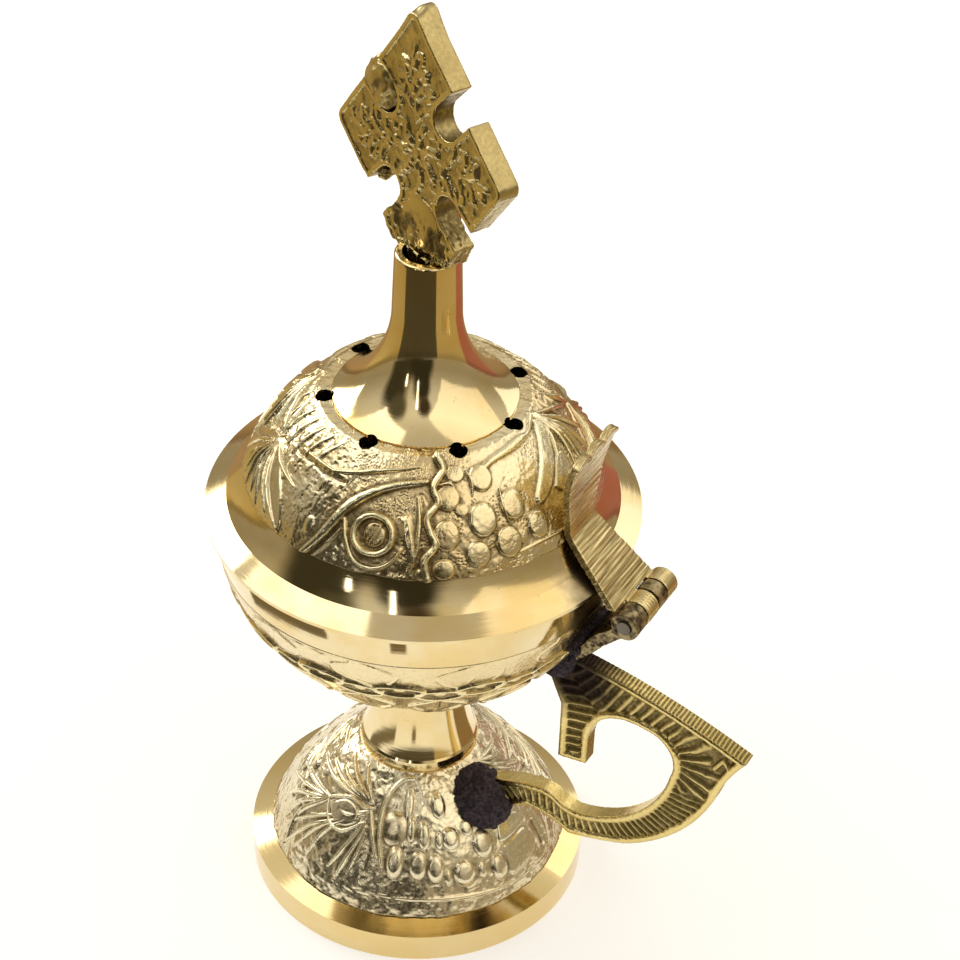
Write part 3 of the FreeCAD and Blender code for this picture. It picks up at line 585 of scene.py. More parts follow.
def make_cross():
    """The cast cross: raised border, worn flower and scrolls in the sunk field, lumpy boss."""
    cross = fine_copy("cross_cast", "cross", 0.17, 3)
    points, normals = points_of(cross), normals_of(cross)
    axes, middle = cross_frame()
    local = (points - middle) @ axes
    u, w, v = local.T
    out = normals @ axes
    plate = (v > -17.5) & (np.abs(w) < 2.4)
    side = plate & (np.abs(w) < 1.5) & (np.abs(out[:, 1]) < 0.5)
    rim = local[side][:, [0, 2]][::3]
    face = plate & (np.abs(out[:, 1]) > 0.6)
    edge = np.full(len(points), 9.0)
    edge[face] = distance_to(local[face][:, [0, 2]], rim)
    flip = np.sign(w)
    grid = np.stack([u, v, 6 * flip], -1)
    field = ramp(edge, 0.7, 1.2) * face
    border = face * (ramp(edge, 0.05, 0.4) - ramp(edge, 0.8, 1.2))
    relief = np.zeros(len(points))

    def stroke(path, wide, high, steps=6):
        nonlocal relief
        reach = along_path(u, v, smooth_path(path, steps))[0]
        relief = np.maximum(relief, high * np.clip(1 - (reach / wide) ** 2, 0, 1) ** 0.6)

    # worn flower in the middle, and leaf sprays that fill each arm
    reach = np.hypot(u, v)
    relief = np.maximum(relief, 0.5 * np.clip(1 - (reach / 1.4) ** 2, 0, 1) ** 0.5)
    for index in range(7):
        a = math.radians(index * 360 / 7 + 14)
        tip = np.array([math.cos(a), math.sin(a)])
        bend = np.array([-tip[1], tip[0]])
        stroke([tip * 1.9, tip * 3.4 + bend * 0.7, tip * 5.4 + bend * 0.3], 0.95, 0.46)
    for a in (0, 90, 180, 270):
        c, s = math.cos(math.radians(a)), math.sin(math.radians(a))

        def arm(x, y):
            return (x * s + y * c, x * -c + y * s)

        stroke([arm(0, 5.6), arm(0.5, 9.0), arm(-0.3, 13.0), arm(0.2, 18.0)], 0.55, 0.34)
        for lean, at in ((1, 6.6), (-1, 7.6), (1, 9.6), (-1, 10.6), (1, 12.4), (-1, 13.4),
                         (1, 15.0)):
            room = max(1.2, 20.0 - at) * 0.42
            stroke([arm(lean * 0.5, at), arm(lean * room * 0.5, at + 1.7),
                    arm(lean * room, at + 1.9)], 0.85, 0.42)
            stroke([arm(lean * room * 0.7, at + 0.2), arm(lean * room * 1.05, at + 0.9)], 0.6, 0.36)
    for sx in (-1, 1):
        for sy in (-1, 1):
            stroke([(sx * 3.6, sy * 4.4), (sx * 5.4, sy * 4.6), (sx * 5.6, sy * 3.2)], 0.8, 0.4)
    wear = rough(grid, 1.7, 131, 3)
    grit = rough(grid, 0.6, 141, 2)
    worn = relief * (0.85 + 0.3 * wear) + 0.17 * wear
    height = field * (-0.2 + 1.0 * worn + 0.03 * grit) + border * (0.04 + 0.05 * wear)
    # chased lines down the lower end, lumps round the boss
    low = ramp(-v, 13.5, 16.5) * plate * (np.abs(out[:, 1]) > 0.3)
    lines = 0.16 * np.sin((u * 0.8 + v * 0.6) * 6.0 + 1.5 * wear) * low
    boss = ramp(142.5 - points[:, 2], 0, 3) * ramp(points[:, 2], 134.2, 135.4)
    lumps = boss * (0.35 * rough(points, 2.4, 151, 2) + 0.12 * rough(points, 0.8, 155, 2))
    edges = plate * ~face * 0.05 * rough(points, 1.6, 161, 2)
    shift = (height + lines + edges + lumps) * (points[:, 2] > 134)
    # the boss lies flush with the plate's front, which runs down to the neck's mouth
    front = (v < -7) & (w < -1.9)
    local[front, 1] = -1.9 + 0.12 * (local[front, 1] + 1.9)
    foot = (v < -12) & (np.abs(w) < 2.3) & (points[:, 2] > 134.2)
    local[foot, 2] -= 1.1 * ramp(-v[foot], 12, 17)
    local[:, 2] += ramp(v, 19.5, 24) * (0.4 + 1.0 * ramp(w, -2, 0.5)) * plate
    points = local @ axes.T + middle
    # painted shade: side faces and slot walls of the cross are darkened through the crevice mark
    # where shade falls; the low field and the boss's hollows get dirt
    slots = np.minimum.reduce([np.hypot(u - sx * 8.6, v - sy * 8.5)
                               for sx in (-1, 1) for sy in (-1, 1)])
    slot_wall_shade = plate * (np.abs(out[:, 1]) < 0.5) * ramp(-slots, -5.0, -3.6)
    low_dirt_and_shade = np.clip(field * (0.3 - worn) / 0.8, 0, 0.4)
    low_dirt_and_shade = np.maximum(low_dirt_and_shade, 0.42 * plate * (np.abs(out[:, 1]) < 0.5))
    low_dirt_and_shade = np.maximum(low_dirt_and_shade, boss * 0.8 * ramp(-rough(points, 2.4, 151, 2), -0.2, 0.5))
    low_dirt_and_shade = np.maximum(low_dirt_and_shade, 0.75 * slot_wall_shade)
    return carve(cross, points + normals * shift[:, None], low_dirt_and_shade,
                 0.6 * border + field * ramp(worn, 0.3, 0.6))


def make_flash(name, u, v, w, radii, lean, seed):
    """Lump of casting flash left in a slot of the cross; u, v, w lie along the plate, in mm."""
    axes, middle = cross_frame()
    bpy.ops.mesh.primitive_ico_sphere_add(subdivisions=5, radius=1.0)
    lump = bpy.context.object
    lump.name = name
    lump.data.name = name
    ball = points_of(lump) * MM
    bent = ball * (1 + 0.2 * rough(ball, 0.6, seed, 3))[:, None] * np.array(radii)
    turn = np.array(Matrix.Rotation(math.radians(lean), 3, "Y"))
    placed = (bent @ turn.T + np.array([u, w, v])) @ axes.T + middle
    lump.data.polygons.foreach_set("use_smooth", np.ones(len(lump.data.polygons), bool))
    grain = rough(ball, 0.5, seed + 7, 2)
    return carve(lump, placed, np.clip(0.1 - grain, 0, 0.6), 0.5 * grain)


# ---------------------------------------------------------------- handle

def make_handle():
    """Side handle: a rounded rim round a sunk field with cross ribs, on both faces."""
    handle = fine_copy("handle_cast", "handle", 0.17, 3)
    points, normals = points_of(handle), normals_of(handle)
    x, y, z = points.T
    side = (np.abs(y) < 1.1) & (np.abs(normals[:, 1]) < 0.5)
    rim = points[side][:, [0, 2]][::3]
    face = np.abs(normals[:, 1]) > 0.6
    edge = np.full(len(points), 9.0)
    edge[face] = distance_to(points[face][:, [0, 2]], rim)
    grit = rough(points, 0.6, 171, 3)
    wear = rough(points, 2.4, 181, 2)
    rim_width = 1.15 + 0.15 * wear
    field = face * ramp(edge, rim_width, rim_width + 0.45)
    # where each rib lies: along the leg, the upper arm and the lower arm
    leg = smooth_path([(32.6, 37.5), (32.3, 43), (32.0, 50), (31.4, 56.5)])
    upper = smooth_path([(31.5, 57.0), (37.0, 55.6), (44.0, 54.9), (52.0, 53.6), (60.0, 51.0)])
    lower = smooth_path([(16.0, 22.0), (23.0, 25.0), (30.5, 23.6), (38.0, 23.0), (46.0, 25.6),
                         (53.0, 31.2), (57.0, 38.0), (59.5, 46.0)])
    ribs = np.zeros(len(points))
    best = np.full(len(points), 1e3)
    for path, pitch, slant, sharp in ((leg, 1.9, 0.15, 0.9), (upper, 2.1, -0.45, 1.0),
                                      (lower, 1.55, 0.4, 0.8)):
        reach, run, aside = along_path(x, z, path)[:3]
        wave = 0.5 + 0.5 * np.cos(2 * math.pi * (run + slant * aside + 0.15 * wear) / pitch)
        wave = wave ** sharp
        closer = reach < best
        ribs = np.where(closer, wave, ribs)
        best = np.where(closer, reach, best)
    # leaf veins spread where the arms meet, and a small chevron at the tip
    corner = ramp(x, 51.5, 54.0) * ramp(z, 38.0, 41.5)
    angle = np.arctan2(z - 46.5, x - 49.0)
    fan = 0.5 + 0.5 * np.cos(angle * 21 + 0.9 * wear)
    ribs = ribs * (1 - corner) + fan * corner
    tip = ramp(x, 58.5, 59.5) * ramp(z, 46.5, 47.5)
    chevron = np.minimum(along_path(x, z, np.array([(59.6, 48.6), (61.2, 51.2)]))[0],
                         along_path(x, z, np.array([(61.2, 51.2), (62.4, 49.4)]))[0])
    ribs = ribs * (1 - tip) + tip * (1 - ramp(chevron, 0.25, 0.6))
    sunk = 0.75 * field * (1 - 0.72 * ribs)
    crown = face * 0.14 * (ramp(edge, 0.1, 0.55) - ramp(edge, 0.8, 1.2))
    # fine grooves over the back edge
    back = (~face) & (normals[:, 2] > 0.6) & (x > 31) & (z > 50)
    teeth = back * (0.03 + 0.05 * ramp(x, 46, 52)) * (np.sin(x * 8.6 + 0.6 * wear) - 0.4)
    shift = -sunk + crown + teeth + face * 0.03 * grit + (~face) * 0.02 * grit
    shift *= ramp(x, 15.4, 17.5)
    gaps = back * ramp(-np.sin(x * 8.6 + 0.6 * wear), -0.2, 0.8)
    dirt_and_shade = field * (1 - ribs) * 1.15 + 0.25 * field + 0.8 * gaps + 0.25 * back
    return carve(handle, points + normals * shift[:, None], dirt_and_shade, crown / 0.14)


# ---------------------------------------------------------------- hinge

def make_leaf():
    """Thumb-piece leaf with coarse file lines along the pin, and a lobed top edge."""
    leaf = fine_copy("leaf_filed", "lid_leaf", 0.13, 2)
    points, normals = points_of(leaf), normals_of(leaf)
    x, y, z = points.T
    barrel = np.hypot(x - PIN_X, z - PIN_Z) < 3.1
    run = (z - x) / math.sqrt(2)
    lines = rough(np.stack([run * 1.0, y * 0.06, 0 * y], -1), 0.42, 191, 2)
    coarse = rough(np.stack([run * 1.0, y * 0.05, 0 * y + 5], -1), 1.1, 201, 2)
    plate = 1.0 * ~barrel
    shift = plate * (0.07 * lines + 0.07 * coarse)
    # three soft lobes on the top edge
    top = ramp(z, 105.4, 107.6)
    lobes = np.abs(np.cos((y + 1.2) * math.pi / 4.7)) ** 0.7
    rise = top * (lobes - 0.75) * 0.9
    # ribs filed round the narrow barrel, a smoother far one
    ribs = barrel * (y < 1.0) * 0.06 * np.sin(y * 9.0)
    moved = points + normals * (shift + ribs)[:, None]
    moved[:, 2] += rise
    return carve(leaf, moved, plate * (0.25 - lines * 0.6 - 0.5 * coarse), plate * lines + top)


def make_bracket():
    """The hinge bracket with a cast grain, finer on its knuckles and none in their bores."""
    bracket = fine_copy("bracket_cast", "hinge_bracket", 0.14, 2)
    points, normals = points_of(bracket), normals_of(bracket)
    grit = rough(points, 0.8, 211, 3)
    from_pin = np.hypot(points[:, 0] - PIN_X, points[:, 2] - PIN_Z)
    barrel, bore = from_pin < 2.9, from_pin < 1.6
    shift = (0.12 * grit - 0.05) * ~bore * (0.35 + 0.65 * ~barrel)
    return carve(bracket, points + normals * shift[:, None], 0.35 - grit * 0.6, grit)


def make_braze(name, node, grow, seed, nudge):
    """Granular lump of braze metal; nudge moves it, in mm."""
    lump = fine_copy(name, node, 0.2, 4)
    points, normals = points_of(lump) + np.array(nudge), normals_of(lump)
    big = rough(points, 3.4, seed, 2)
    grain = rough(points, 0.9, seed + 10, 3)
    shift = grow + 0.5 * big + 0.4 * grain
    return carve(lump, points + normals * shift[:, None], 0.4 - grain, grain)


# ---------------------------------------------------------------- materials

class Nodes:
    """A small helper round a material's node tree."""

    def __init__(self, name):
        self.material = bpy.data.materials.new(name)
        self.material.use_nodes = True
        self.tree = self.material.node_tree
        self.shader = self.tree.nodes["Principled BSDF"]

    def add(self, kind, **settings):
        item = self.tree.nodes.new(kind)
        for key, value in settings.items():
            setattr(item, key, value)
        return item

    def link(self, source, target):
        self.tree.links.new(source, target)

    def place(self, scale=(1, 1, 1)):
        """Object coordinates in mm, stretched."""
        coords = self.add("ShaderNodeTexCoord")
        mapping = self.add("ShaderNodeMapping")
        mapping.inputs["Scale"].default_value = [1000 * part for part in scale]
        self.link(coords.outputs["Object"], mapping.inputs["Vector"])
        return mapping.outputs["Vector"]

    def noise(self, scale, detail=3, stretch=(1, 1, 1), vector=None):
        item = self.add("ShaderNodeTexNoise")
        item.inputs["Scale"].default_value = scale
        item.inputs["Detail"].default_value = detail
        self.link(vector or self.place(stretch), item.inputs["Vector"])
        return item.outputs["Fac"]

    def span(self, value, low, high, to_low=0.0, to_high=1.0):
        item = self.add("ShaderNodeMapRange", interpolation_type="SMOOTHSTEP")
        for key, number in (("From Min", low), ("From Max", high),
                            ("To Min", to_low), ("To Max", to_high)):
            item.inputs[key].default_value = number
        self.link(value, item.inputs["Value"])
        return item.outputs["Result"]

    def maths(self, operation, *values):
        item = self.add("ShaderNodeMath", operation=operation)
        for socket, value in zip(item.inputs, values):
            if isinstance(value, (int, float)):
                socket.default_value = value
            else:
                self.link(value, socket)
        return item.outputs["Value"]

    def mix(self, factor, first, second):
        item = self.add("ShaderNodeMix", data_type="RGBA")
        for socket, value in zip((item.inputs[0], item.inputs[6], item.inputs[7]),
                                 (factor, first, second)):
            if isinstance(value, tuple):
                socket.default_value = value + (1,)
            elif isinstance(value, (int, float)):
                socket.default_value = value
            else:
                self.link(value, socket)
        return item.outputs[2]

    def mark(self, name):
        return self.add("ShaderNodeAttribute", attribute_name=name).outputs["Fac"]

    def turned(self):
        """Vector that runs up and in across turned surfaces: radius, height, a little turn."""
        parts = self.add("ShaderNodeSeparateXYZ")
        self.link(self.place(), parts.inputs[0])
        square = self.maths("ADD", self.maths("MULTIPLY", parts.outputs[0], parts.outputs[0]),
                            self.maths("MULTIPLY", parts.outputs[1], parts.outputs[1]))
        radius = self.maths("SQRT", square)
        angle = self.maths("ARCTAN2", parts.outputs[1], parts.outputs[0])
        joined = self.add("ShaderNodeCombineXYZ")
        self.link(radius, joined.inputs[0])
        self.link(self.maths("MULTIPLY", angle, 0.35), joined.inputs[1])
        self.link(parts.outputs[2], joined.inputs[2])
        return joined.outputs[0]

    def near_point(self, centre, inner, outer):
        """1 close to a point (mm), 0 away from it."""
        gap = self.add("ShaderNodeVectorMath", operation="DISTANCE")
        self.link(self.place(), gap.inputs[0])
        gap.inputs[1].default_value = centre
        wobble = self.maths("MULTIPLY", self.noise(0.35, 3), 5.0)
        return self.span(self.maths("ADD", gap.outputs["Value"], wobble), inner, outer, 1.0, 0.0)

    def bump(self, height, distance, strength=1.0):
        item = self.add("ShaderNodeBump")
        item.inputs["Strength"].default_value = strength
        item.inputs["Distance"].default_value = distance * MM
        self.link(height, item.inputs["Height"])
        self.link(item.outputs["Normal"], self.shader.inputs["Normal"])

    def finish(self, colour, rough, metallic=1.0):
        for socket, value in (("Base Color", colour), ("Roughness", rough)):
            if isinstance(value, tuple):
                self.shader.inputs[socket].default_value = value + (1,)
            elif isinstance(value, (int, float)):
                self.shader.inputs[socket].default_value = value
            else:
                self.link(value, self.shader.inputs[socket])
        self.shader.inputs["Metallic"].default_value = metallic
        return self.material


PALE = (0.83, 0.70, 0.43)
GOLD = (0.78, 0.60, 0.28)
OLIVE = (0.52, 0.42, 0.20)
PATINA = (0.085, 0.062, 0.030)
# dark colour for heat stains, also used as painted shadow by the hinge
BURNT_AND_SHADOW = (0.035, 0.022, 0.022)


def polished(name, tint=PALE, deep=GOLD, heat_and_shadow=None):
    """Lathe-polished brass: faint turning lines, hazy patches, and by the hinge a heat stain that
    also paints the shadow falling there.
    """
    m = Nodes(name)
    turned = m.turned()
    haze = m.noise(0.09, 4)
    rings = m.noise(2.2, 3, vector=turned)
    fine = m.noise(9.0, 2, vector=turned)
    colour = m.mix(m.span(haze, 0.35, 0.68), tint, deep)
    colour = m.mix(m.span(rings, 0.62, 0.78, 0.0, 0.18), colour, OLIVE)
    spots = m.span(m.noise(1.1, 3), 0.68, 0.78, 0.0, 0.4)
    colour = m.mix(spots, colour, (0.42, 0.30, 0.12))
    rough_value = m.maths("ADD", m.span(haze, 0.3, 0.75, 0.055, 0.13),
                          m.span(rings, 0.5, 0.8, 0.0, 0.05))
    # dark spot round a point: a heat stain, which by the hinge also paints the shadow there
    if heat_and_shadow:
        stain_and_shadow = m.near_point(*heat_and_shadow)
        colour = m.mix(m.maths("MULTIPLY", stain_and_shadow, 0.96), colour, BURNT_AND_SHADOW)
        rough_value = m.maths("ADD", rough_value, m.maths("MULTIPLY", stain_and_shadow, 0.35))
    m.bump(m.maths("ADD", m.maths("MULTIPLY", fine, 0.4), rings), 0.012, 0.5)
    return m.finish(colour, rough_value)


def chased(name, tint, deep, dirt_and_shade, low, high, heat_and_shadow=None, dirt_and_shade_share=0.9):
    """Cast or chased relief: bright worn crests, dull grain, dark in the crevices."""
    m = Nodes(name)
    grain = m.noise(1.6, 4)
    large = m.noise(0.07, 3)
    colour = m.mix(m.span(large, 0.35, 0.65), tint, deep)
    colour = m.mix(m.span(grain, 0.5, 0.8, 0.0, 0.22), colour, OLIVE)
    worn = tuple(min(0.9, 1.12 * part) for part in tint)
    colour = m.mix(m.maths("MULTIPLY", m.mark("crest"), 0.7), colour, worn)
    # crevices take the dark colour: dirt in hollows, and on the cross also painted shade on side
    # faces and slot walls
    hollow = m.maths("MULTIPLY", m.span(m.mark("crevice"), 0.1, 0.85),
                     m.span(grain, 0.2, 0.6, 0.6, 1.0))
    colour = m.mix(m.maths("MULTIPLY", hollow, dirt_and_shade_share), colour, dirt_and_shade)
    rough_value = m.maths("ADD", m.span(grain, 0.3, 0.75, low, high),
                          m.maths("MULTIPLY", hollow, 0.22))
    if heat_and_shadow:
        stain_and_shadow = m.near_point(*heat_and_shadow)
        colour = m.mix(m.maths("MULTIPLY", stain_and_shadow, 0.95), colour, BURNT_AND_SHADOW)
        rough_value = m.maths("ADD", rough_value, m.maths("MULTIPLY", stain_and_shadow, 0.3))
    pitting = m.noise(4.5, 4)
    m.bump(m.maths("ADD", m.maths("MULTIPLY", pitting, 0.5), grain), 0.04, 0.4)
    return m.finish(colour, rough_value)


def filed(name):
    """Filed brass: scratch lines along the pin, olive in the cuts."""
    m = Nodes(name)
    lines = m.noise(4.6, 3, stretch=(1, 0.035, 1))
    wide = m.noise(1.5, 2, stretch=(1, 0.05, 1))
    patch = m.noise(0.16, 3)
    colour = m.mix(m.span(patch, 0.4, 0.62), (0.80, 0.67, 0.36), (0.62, 0.50, 0.25))
    colour = m.mix(m.span(lines, 0.52, 0.72, 0.0, 0.75), colour, (0.28, 0.21, 0.09))
    colour = m.mix(m.span(m.mark("crevice"), 0.4, 1.0, 0.0, 0.5), colour, PATINA)
    m.bump(m.maths("ADD", lines, m.maths("MULTIPLY", wide, 0.8)), 0.08, 0.7)
    return m.finish(colour, m.span(wide, 0.3, 0.7, 0.2, 0.36))


def oxide(name):
    m = Nodes(name)
    grain = m.noise(1.4, 4)
    fine = m.noise(5.0, 3)
    colour = m.mix(m.span(grain, 0.35, 0.7), (0.014, 0.010, 0.014), (0.075, 0.050, 0.070))
    colour = m.mix(m.span(fine, 0.66, 0.8, 0.0, 0.35), colour, (0.20, 0.13, 0.08))
    m.bump(m.maths("ADD", grain, m.maths("MULTIPLY", fine, 0.6)), 0.25, 0.9)
    return m.finish(colour, m.span(fine, 0.3, 0.7, 0.5, 0.8), 0.35)


def steel(name, tint, low, high):
    m = Nodes(name)
    turned = m.turned()
    rings = m.noise(4.0, 3, vector=turned)
    patch = m.noise(0.25, 3)
    colour = m.mix(m.span(patch, 0.4, 0.7), tint, tuple(0.72 * part for part in tint))
    m.bump(rings, 0.02, 0.5)
    return m.finish(colour, m.span(patch, 0.3, 0.7, low, high))


# ---------------------------------------------------------------- the pieces and their finish

def give(thing, material):
    thing.data.materials.clear()
    thing.data.materials.append(material)


# the hinge stain is a heat stain widened to paint the shadow between bowl, bracket and lid
HINGE_HEAT_AND_SHADOW = ((35.5, -3.0, 70.5), 6.0, 17.0)
HANDLE_HEAT = ((31.5, 0.0, 58.6), 6.5, 14.5)
FOOT_HEAT = ((16.0, -3.0, 21.5), 4.5, 10.5)

bright = polished("polished_brass")
# the bowl's and the lid's stains by the hinge are partly heat stain, partly painted shadow
bowl_metal = polished("bowl_brass", heat_and_shadow=HINGE_HEAT_AND_SHADOW)
lid_metal = polished("lid_brass", heat_and_shadow=((36.5, -4.0, 80.0), 5.0, 14.0))
foot_metal = polished("foot_brass", tint=(0.80, 0.64, 0.34))

finishes = {
    "foot": foot_metal, "stem": bright, "bowl": bowl_metal, "lid_dome": lid_metal, "neck": bright,
    "fire_cup": steel("cup_steel", (0.60, 0.59, 0.57), 0.22, 0.4),
    "hinge_pin": steel("pin_steel", (0.22, 0.19, 0.16), 0.4, 0.6),
}
zinc = steel("zinc_steel", (0.66, 0.66, 0.64), 0.25, 0.42)
for name in ("column_bolt", "column_washer", "column_nut", "cross_stud", "lid_washer", "lid_nut"):
    finishes[name] = zinc
for name, material in finishes.items():
    give(nodes[name], material)


def install(thing, body, slot, material, *replaced):
    give(thing, material)
    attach(thing, body)
    if replaced:
        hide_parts(*replaced)
    return thing


install(make_lid_relief(), "lid", "lid_brass",
        chased("lid_relief_brass", (0.88, 0.78, 0.53), (0.74, 0.59, 0.33), (0.14, 0.098, 0.04),
               0.15, 0.31, heat_and_shadow=((33.5, -2.0, 90.0), 1.5, 9.0)))
install(make_foot_relief(), "stand", "foot_brass",
        chased("foot_relief_brass", (0.86, 0.78, 0.57), (0.74, 0.63, 0.42), (0.15, 0.108, 0.05),
               0.18, 0.32, heat_and_shadow=FOOT_HEAT))
install(make_bowl_relief(), "stand", "bowl_brass",
        chased("bowl_relief_brass", (0.84, 0.71, 0.43), (0.78, 0.62, 0.33), (0.20, 0.14, 0.05),
               0.16, 0.30, heat_and_shadow=HANDLE_HEAT))
# the cross's dark colour also paints the shade on its side faces and slot walls
install(make_cross(), "lid", "cast_brass",
        chased("cross_brass", (0.68, 0.56, 0.27), (0.56, 0.45, 0.20), (0.13, 0.092, 0.034),
               0.15, 0.30), "cross")
flash = chased("flash_brass", (0.68, 0.56, 0.26), (0.54, 0.43, 0.19), (0.10, 0.072, 0.03),
               0.26, 0.42)
for lump in (make_flash("slot_flash", -9.3, 9.2, -0.5, (4.1, 2.3, 4.6), 42, 261),
             make_flash("slot_bead", -11.2, -7.6, 0.1, (1.3, 1.3, 1.2), 0, 271)):
    install(lump, "lid", "cast_brass", flash)
install(make_handle(), "stand", "cast_brass",
        chased("handle_brass", (0.76, 0.61, 0.26), (0.60, 0.47, 0.18), (0.12, 0.088, 0.03),
               0.2, 0.36, heat_and_shadow=HANDLE_HEAT, dirt_and_shade_share=0.85), "handle")
install(make_bracket(), "stand", "cast_brass",
        chased("bracket_brass", (0.40, 0.32, 0.17), (0.30, 0.24, 0.13), (0.03, 0.022, 0.018),
               0.28, 0.45, heat_and_shadow=((35.0, -1.4, 69.5), 2.0, 9.0)), "hinge_bracket")
install(make_leaf(), "lid", "filed_brass", filed("leaf_brass"), "lid_leaf")
black = oxide("braze_oxide")
for name, node, body, grow, seed, nudge in (
        ("braze_lump_foot", "braze_handle_foot", "stand", 0.2, 221, (-0.9, -1.3, 0.5)),
        ("braze_lump_handle", "braze_handle_top", "stand", 0.1, 231, (0, 0, 0)),
        ("braze_lump_bracket", "braze_bracket", "stand", 0.1, 241, (0, 0, 0)),
        ("braze_lump_leaf", "braze_leaf", "lid", -0.05, 251, (0, 0, 0))):
    install(make_braze(name, node, grow, seed, nudge), body, "oxide_braze", black, node)


# ---------------------------------------------------------------- floor, light and camera

def make_floor():
    size = 6.0
    mesh = bpy.data.meshes.new("floor")
    mesh.from_pydata([(-size, -size, 0), (size, -size, 0), (size, size, 0), (-size, size, 0)],
                     [], [(0, 1, 2, 3)])
    floor = bpy.data.objects.new("floor", mesh)
    bpy.context.scene.collection.objects.link(floor)
    m = Nodes("floor_pale")
    m.finish((0.62, 0.62, 0.61), 0.8, 0.0)
    m.shader.inputs["Emission Color"].default_value = (1.0, 0.99, 0.97, 1)
    m.shader.inputs["Emission Strength"].default_value = 0.52
    give(floor, m.material)


def make_world():
    """Even pale room; polished metal also sees its darker corners in front of the censer."""
    world = bpy.data.worlds.new("studio")
    bpy.context.scene.world = world
    world.use_nodes = True
    tree = world.node_tree
    tree.nodes.clear()
    output = tree.nodes.new("ShaderNodeOutputWorld")
    seen = tree.nodes.new("ShaderNodeBackground")
    seen.inputs["Color"].default_value = (0.96, 0.96, 0.95, 1)
    room = tree.nodes.new("ShaderNodeBackground")
    coords = tree.nodes.new("ShaderNodeTexCoord")
    parts = tree.nodes.new("ShaderNodeSeparateXYZ")
    tree.links.new(coords.outputs["Generated"], parts.inputs[0])
    height = tree.nodes.new("ShaderNodeValToRGB")
    height.color_ramp.elements[0].position = 0.0
    height.color_ramp.elements[0].color = (0.36, 0.30, 0.20, 1)
    height.color_ramp.elements[1].position = 1.0
    height.color_ramp.elements[1].color = (0.55, 0.50, 0.42, 1)
    for at, colour in ((0.14, (0.34, 0.29, 0.20, 1)), (0.30, (0.44, 0.39, 0.30, 1)),
                       (0.50, (0.64, 0.59, 0.49, 1)), (0.78, (0.84, 0.78, 0.66, 1))):
        element = height.color_ramp.elements.new(at)
        element.color = colour
    tree.links.new(parts.outputs[2], height.inputs[0])

    def flag(azimuth, elevation, inner, outer):
        """1 inside a round dark patch of the room, 0 outside it."""
        a, e = math.radians(azimuth), math.radians(elevation)
        dot = tree.nodes.new("ShaderNodeVectorMath")
        dot.operation = "DOT_PRODUCT"
        tree.links.new(coords.outputs["Generated"], dot.inputs[0])
        dot.inputs[1].default_value = (math.cos(e) * math.cos(a), math.cos(e) * math.sin(a),
                                       math.sin(e))
        fade = tree.nodes.new("ShaderNodeMapRange")
        fade.interpolation_type = "SMOOTHSTEP"
        fade.inputs["From Min"].default_value = math.cos(math.radians(outer))
        fade.inputs["From Max"].default_value = math.cos(math.radians(inner))
        tree.links.new(dot.outputs["Value"], fade.inputs["Value"])
        return fade.outputs["Result"]

    shade = height.outputs[0]
    for patch, colour in ((flag(-112, -4, 22, 34), (0.050, 0.043, 0.024, 1)),
                          (flag(-70, -4, 22, 34), (0.036, 0.030, 0.016, 1)),
                          (flag(-120, 22, 13, 26), (0.050, 0.043, 0.024, 1)),
                          (flag(-68, 24, 10, 20), (0.036, 0.030, 0.016, 1)),
                          (flag(-112, 42, 6, 16), (0.10, 0.09, 0.055, 1)),
                          (flag(-62, 44, 5, 12), (0.06, 0.040, 0.020, 1))):
        blend = tree.nodes.new("ShaderNodeMix")
        blend.data_type = "RGBA"
        tree.links.new(patch, blend.inputs[0])
        tree.links.new(shade, blend.inputs[6])
        blend.inputs[7].default_value = colour
        shade = blend.outputs[2]
    tree.links.new(shade, room.inputs["Color"])
    room.inputs["Strength"].default_value = 1.0
    path = tree.nodes.new("ShaderNodeLightPath")
    either = tree.nodes.new("ShaderNodeMixShader")
    tree.links.new(path.outputs["Is Camera Ray"], either.inputs[0])
    tree.links.new(room.outputs[0], either.inputs[1])
    tree.links.new(seen.outputs[0], either.inputs[2])
    tree.links.new(either.outputs[0], output.inputs["Surface"])


def make_card(name, first, last, near, far, colour):
    """Part of a ring lying on the floor that only reflections see, as a studio's dark flag."""
    turns = np.radians(np.linspace(first, last, 25))
    inner = [(near * math.cos(a), near * math.sin(a), 0.0004) for a in turns]
    outer = [(far * math.cos(a), far * math.sin(a), 0.0004) for a in turns]
    count = len(turns)
    mesh = bpy.data.meshes.new(name)
    mesh.from_pydata(inner + outer, [], [(i, i + 1, count + i + 1, count + i)
                                         for i in range(count - 1)])
    card = bpy.data.objects.new(name, mesh)
    bpy.context.scene.collection.objects.link(card)
    m = Nodes(name)
    m.finish(colour, 0.9, 0.0)
    give(card, m.material)
    for way in ("camera", "diffuse", "shadow", "transmission", "volume_scatter"):
        setattr(card, "visible_" + way, False)


def soft_box(name, azimuth, elevation, distance, size, power, tint):
    """Rectangular light aimed at the middle of the censer."""
    light = bpy.data.lights.new(name, "AREA")
    light.shape = "RECTANGLE"
    light.size, light.size_y = size
    light.energy = power
    light.color = tint
    lamp = bpy.data.objects.new(name, light)
    bpy.context.scene.collection.objects.link(lamp)
    a, e = math.radians(azimuth), math.radians(elevation)
    way = Vector((math.cos(e) * math.cos(a), math.cos(e) * math.sin(a), math.sin(e)))
    lamp.location = Vector((0, 0, 0.085)) + way * distance
    lamp.rotation_euler = (-way).to_track_quat("-Z", "Y").to_euler()


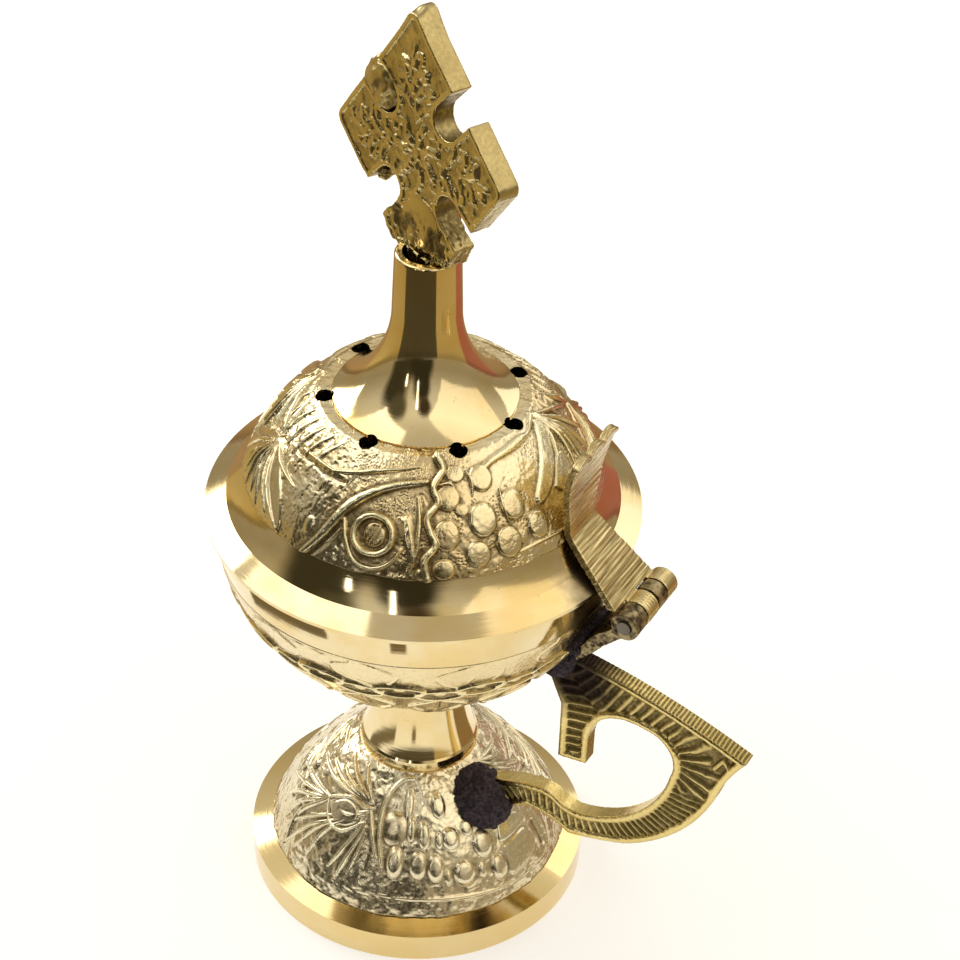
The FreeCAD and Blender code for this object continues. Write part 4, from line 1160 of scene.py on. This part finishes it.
def make_camera():
    """Hand-held view from the handle's front side, looking down at about 40 degrees."""
    data = bpy.data.cameras.new("camera")
    camera = bpy.data.objects.new("camera", data)
    bpy.context.scene.collection.objects.link(camera)
    data.sensor_width = 36.0
    data.lens = 102.39
    data.shift_x = 0.0132
    data.shift_y = -0.0015
    data.clip_start = 0.01
    pitch, yaw, roll = 0.657, 0.020, 0.031
    forward = Vector((math.sin(yaw) * math.cos(pitch), math.cos(yaw) * math.cos(pitch),
                      -math.sin(pitch)))
    level = Vector((math.cos(yaw), -math.sin(yaw), 0))
    rise = level.cross(forward)
    right = level * math.cos(roll) + rise * math.sin(roll)
    up = rise * math.cos(roll) - level * math.sin(roll)
    spin = Matrix.Rotation(math.radians(30), 3, "Z")
    turn = Matrix((spin @ right, spin @ up, spin @ -forward)).transposed()
    camera.matrix_world = (Matrix.Translation(spin @ Vector((0, -0.3735, 0.3753)))
                           @ turn.to_4x4())
    bpy.context.scene.camera = camera


make_floor()
make_world()
# name, from and to in degrees round the censer, inner and outer radius in m, colour
for card in (("card_front", -136, -32, 0.148, 5.8, (0.055, 0.042, 0.016)),
             ("card_left", -202, -136, 0.148, 5.8, (0.42, 0.32, 0.12)),
             ("card_right", -32, 44, 0.148, 5.8, (0.50, 0.39, 0.17)),
             ("card_red", 44, 88, 0.148, 5.8, (0.40, 0.13, 0.10)),
             ("card_amber", 88, 158, 0.148, 5.8, (0.34, 0.22, 0.10)),
             ("card_stem_left", -160, -108, 0.083, 0.12, (0.18, 0.15, 0.09)),
             ("card_stem_middle", -75, -67, 0.083, 0.12, (0.20, 0.15, 0.08)),
             ("card_stem_right", 20, 60, 0.055, 0.135, (0.30, 0.20, 0.09))):
    make_card(*card)
# name, azimuth and elevation in degrees, distance and size in m, watts, tint
for light in (("window_left", 168, 27, 1.1, (0.5, 0.5), 3.8, (1, 0.98, 0.95)),
              ("sky_left", -158, 60, 1.0, (0.8, 0.6), 1.8, (1, 0.98, 0.95)),
              ("right_high", 8, 46, 1.1, (1.5, 1.0), 2.9, (1, 0.88, 0.69)),
              ("back_fill", 80, 30, 1.2, (0.5, 0.8), 1.2, (1, 0.98, 0.95)),
              ("streak", -76, 34, 1.0, (0.04, 0.45), 0.22, (1, 0.98, 0.95)),
              ("streak_low", -101, 20, 1.0, (0.05, 0.16), 0.12, (1, 0.98, 0.95))):
    soft_box(*light)
make_camera()
bpy.context.scene.view_settings.view_transform = "Standard"
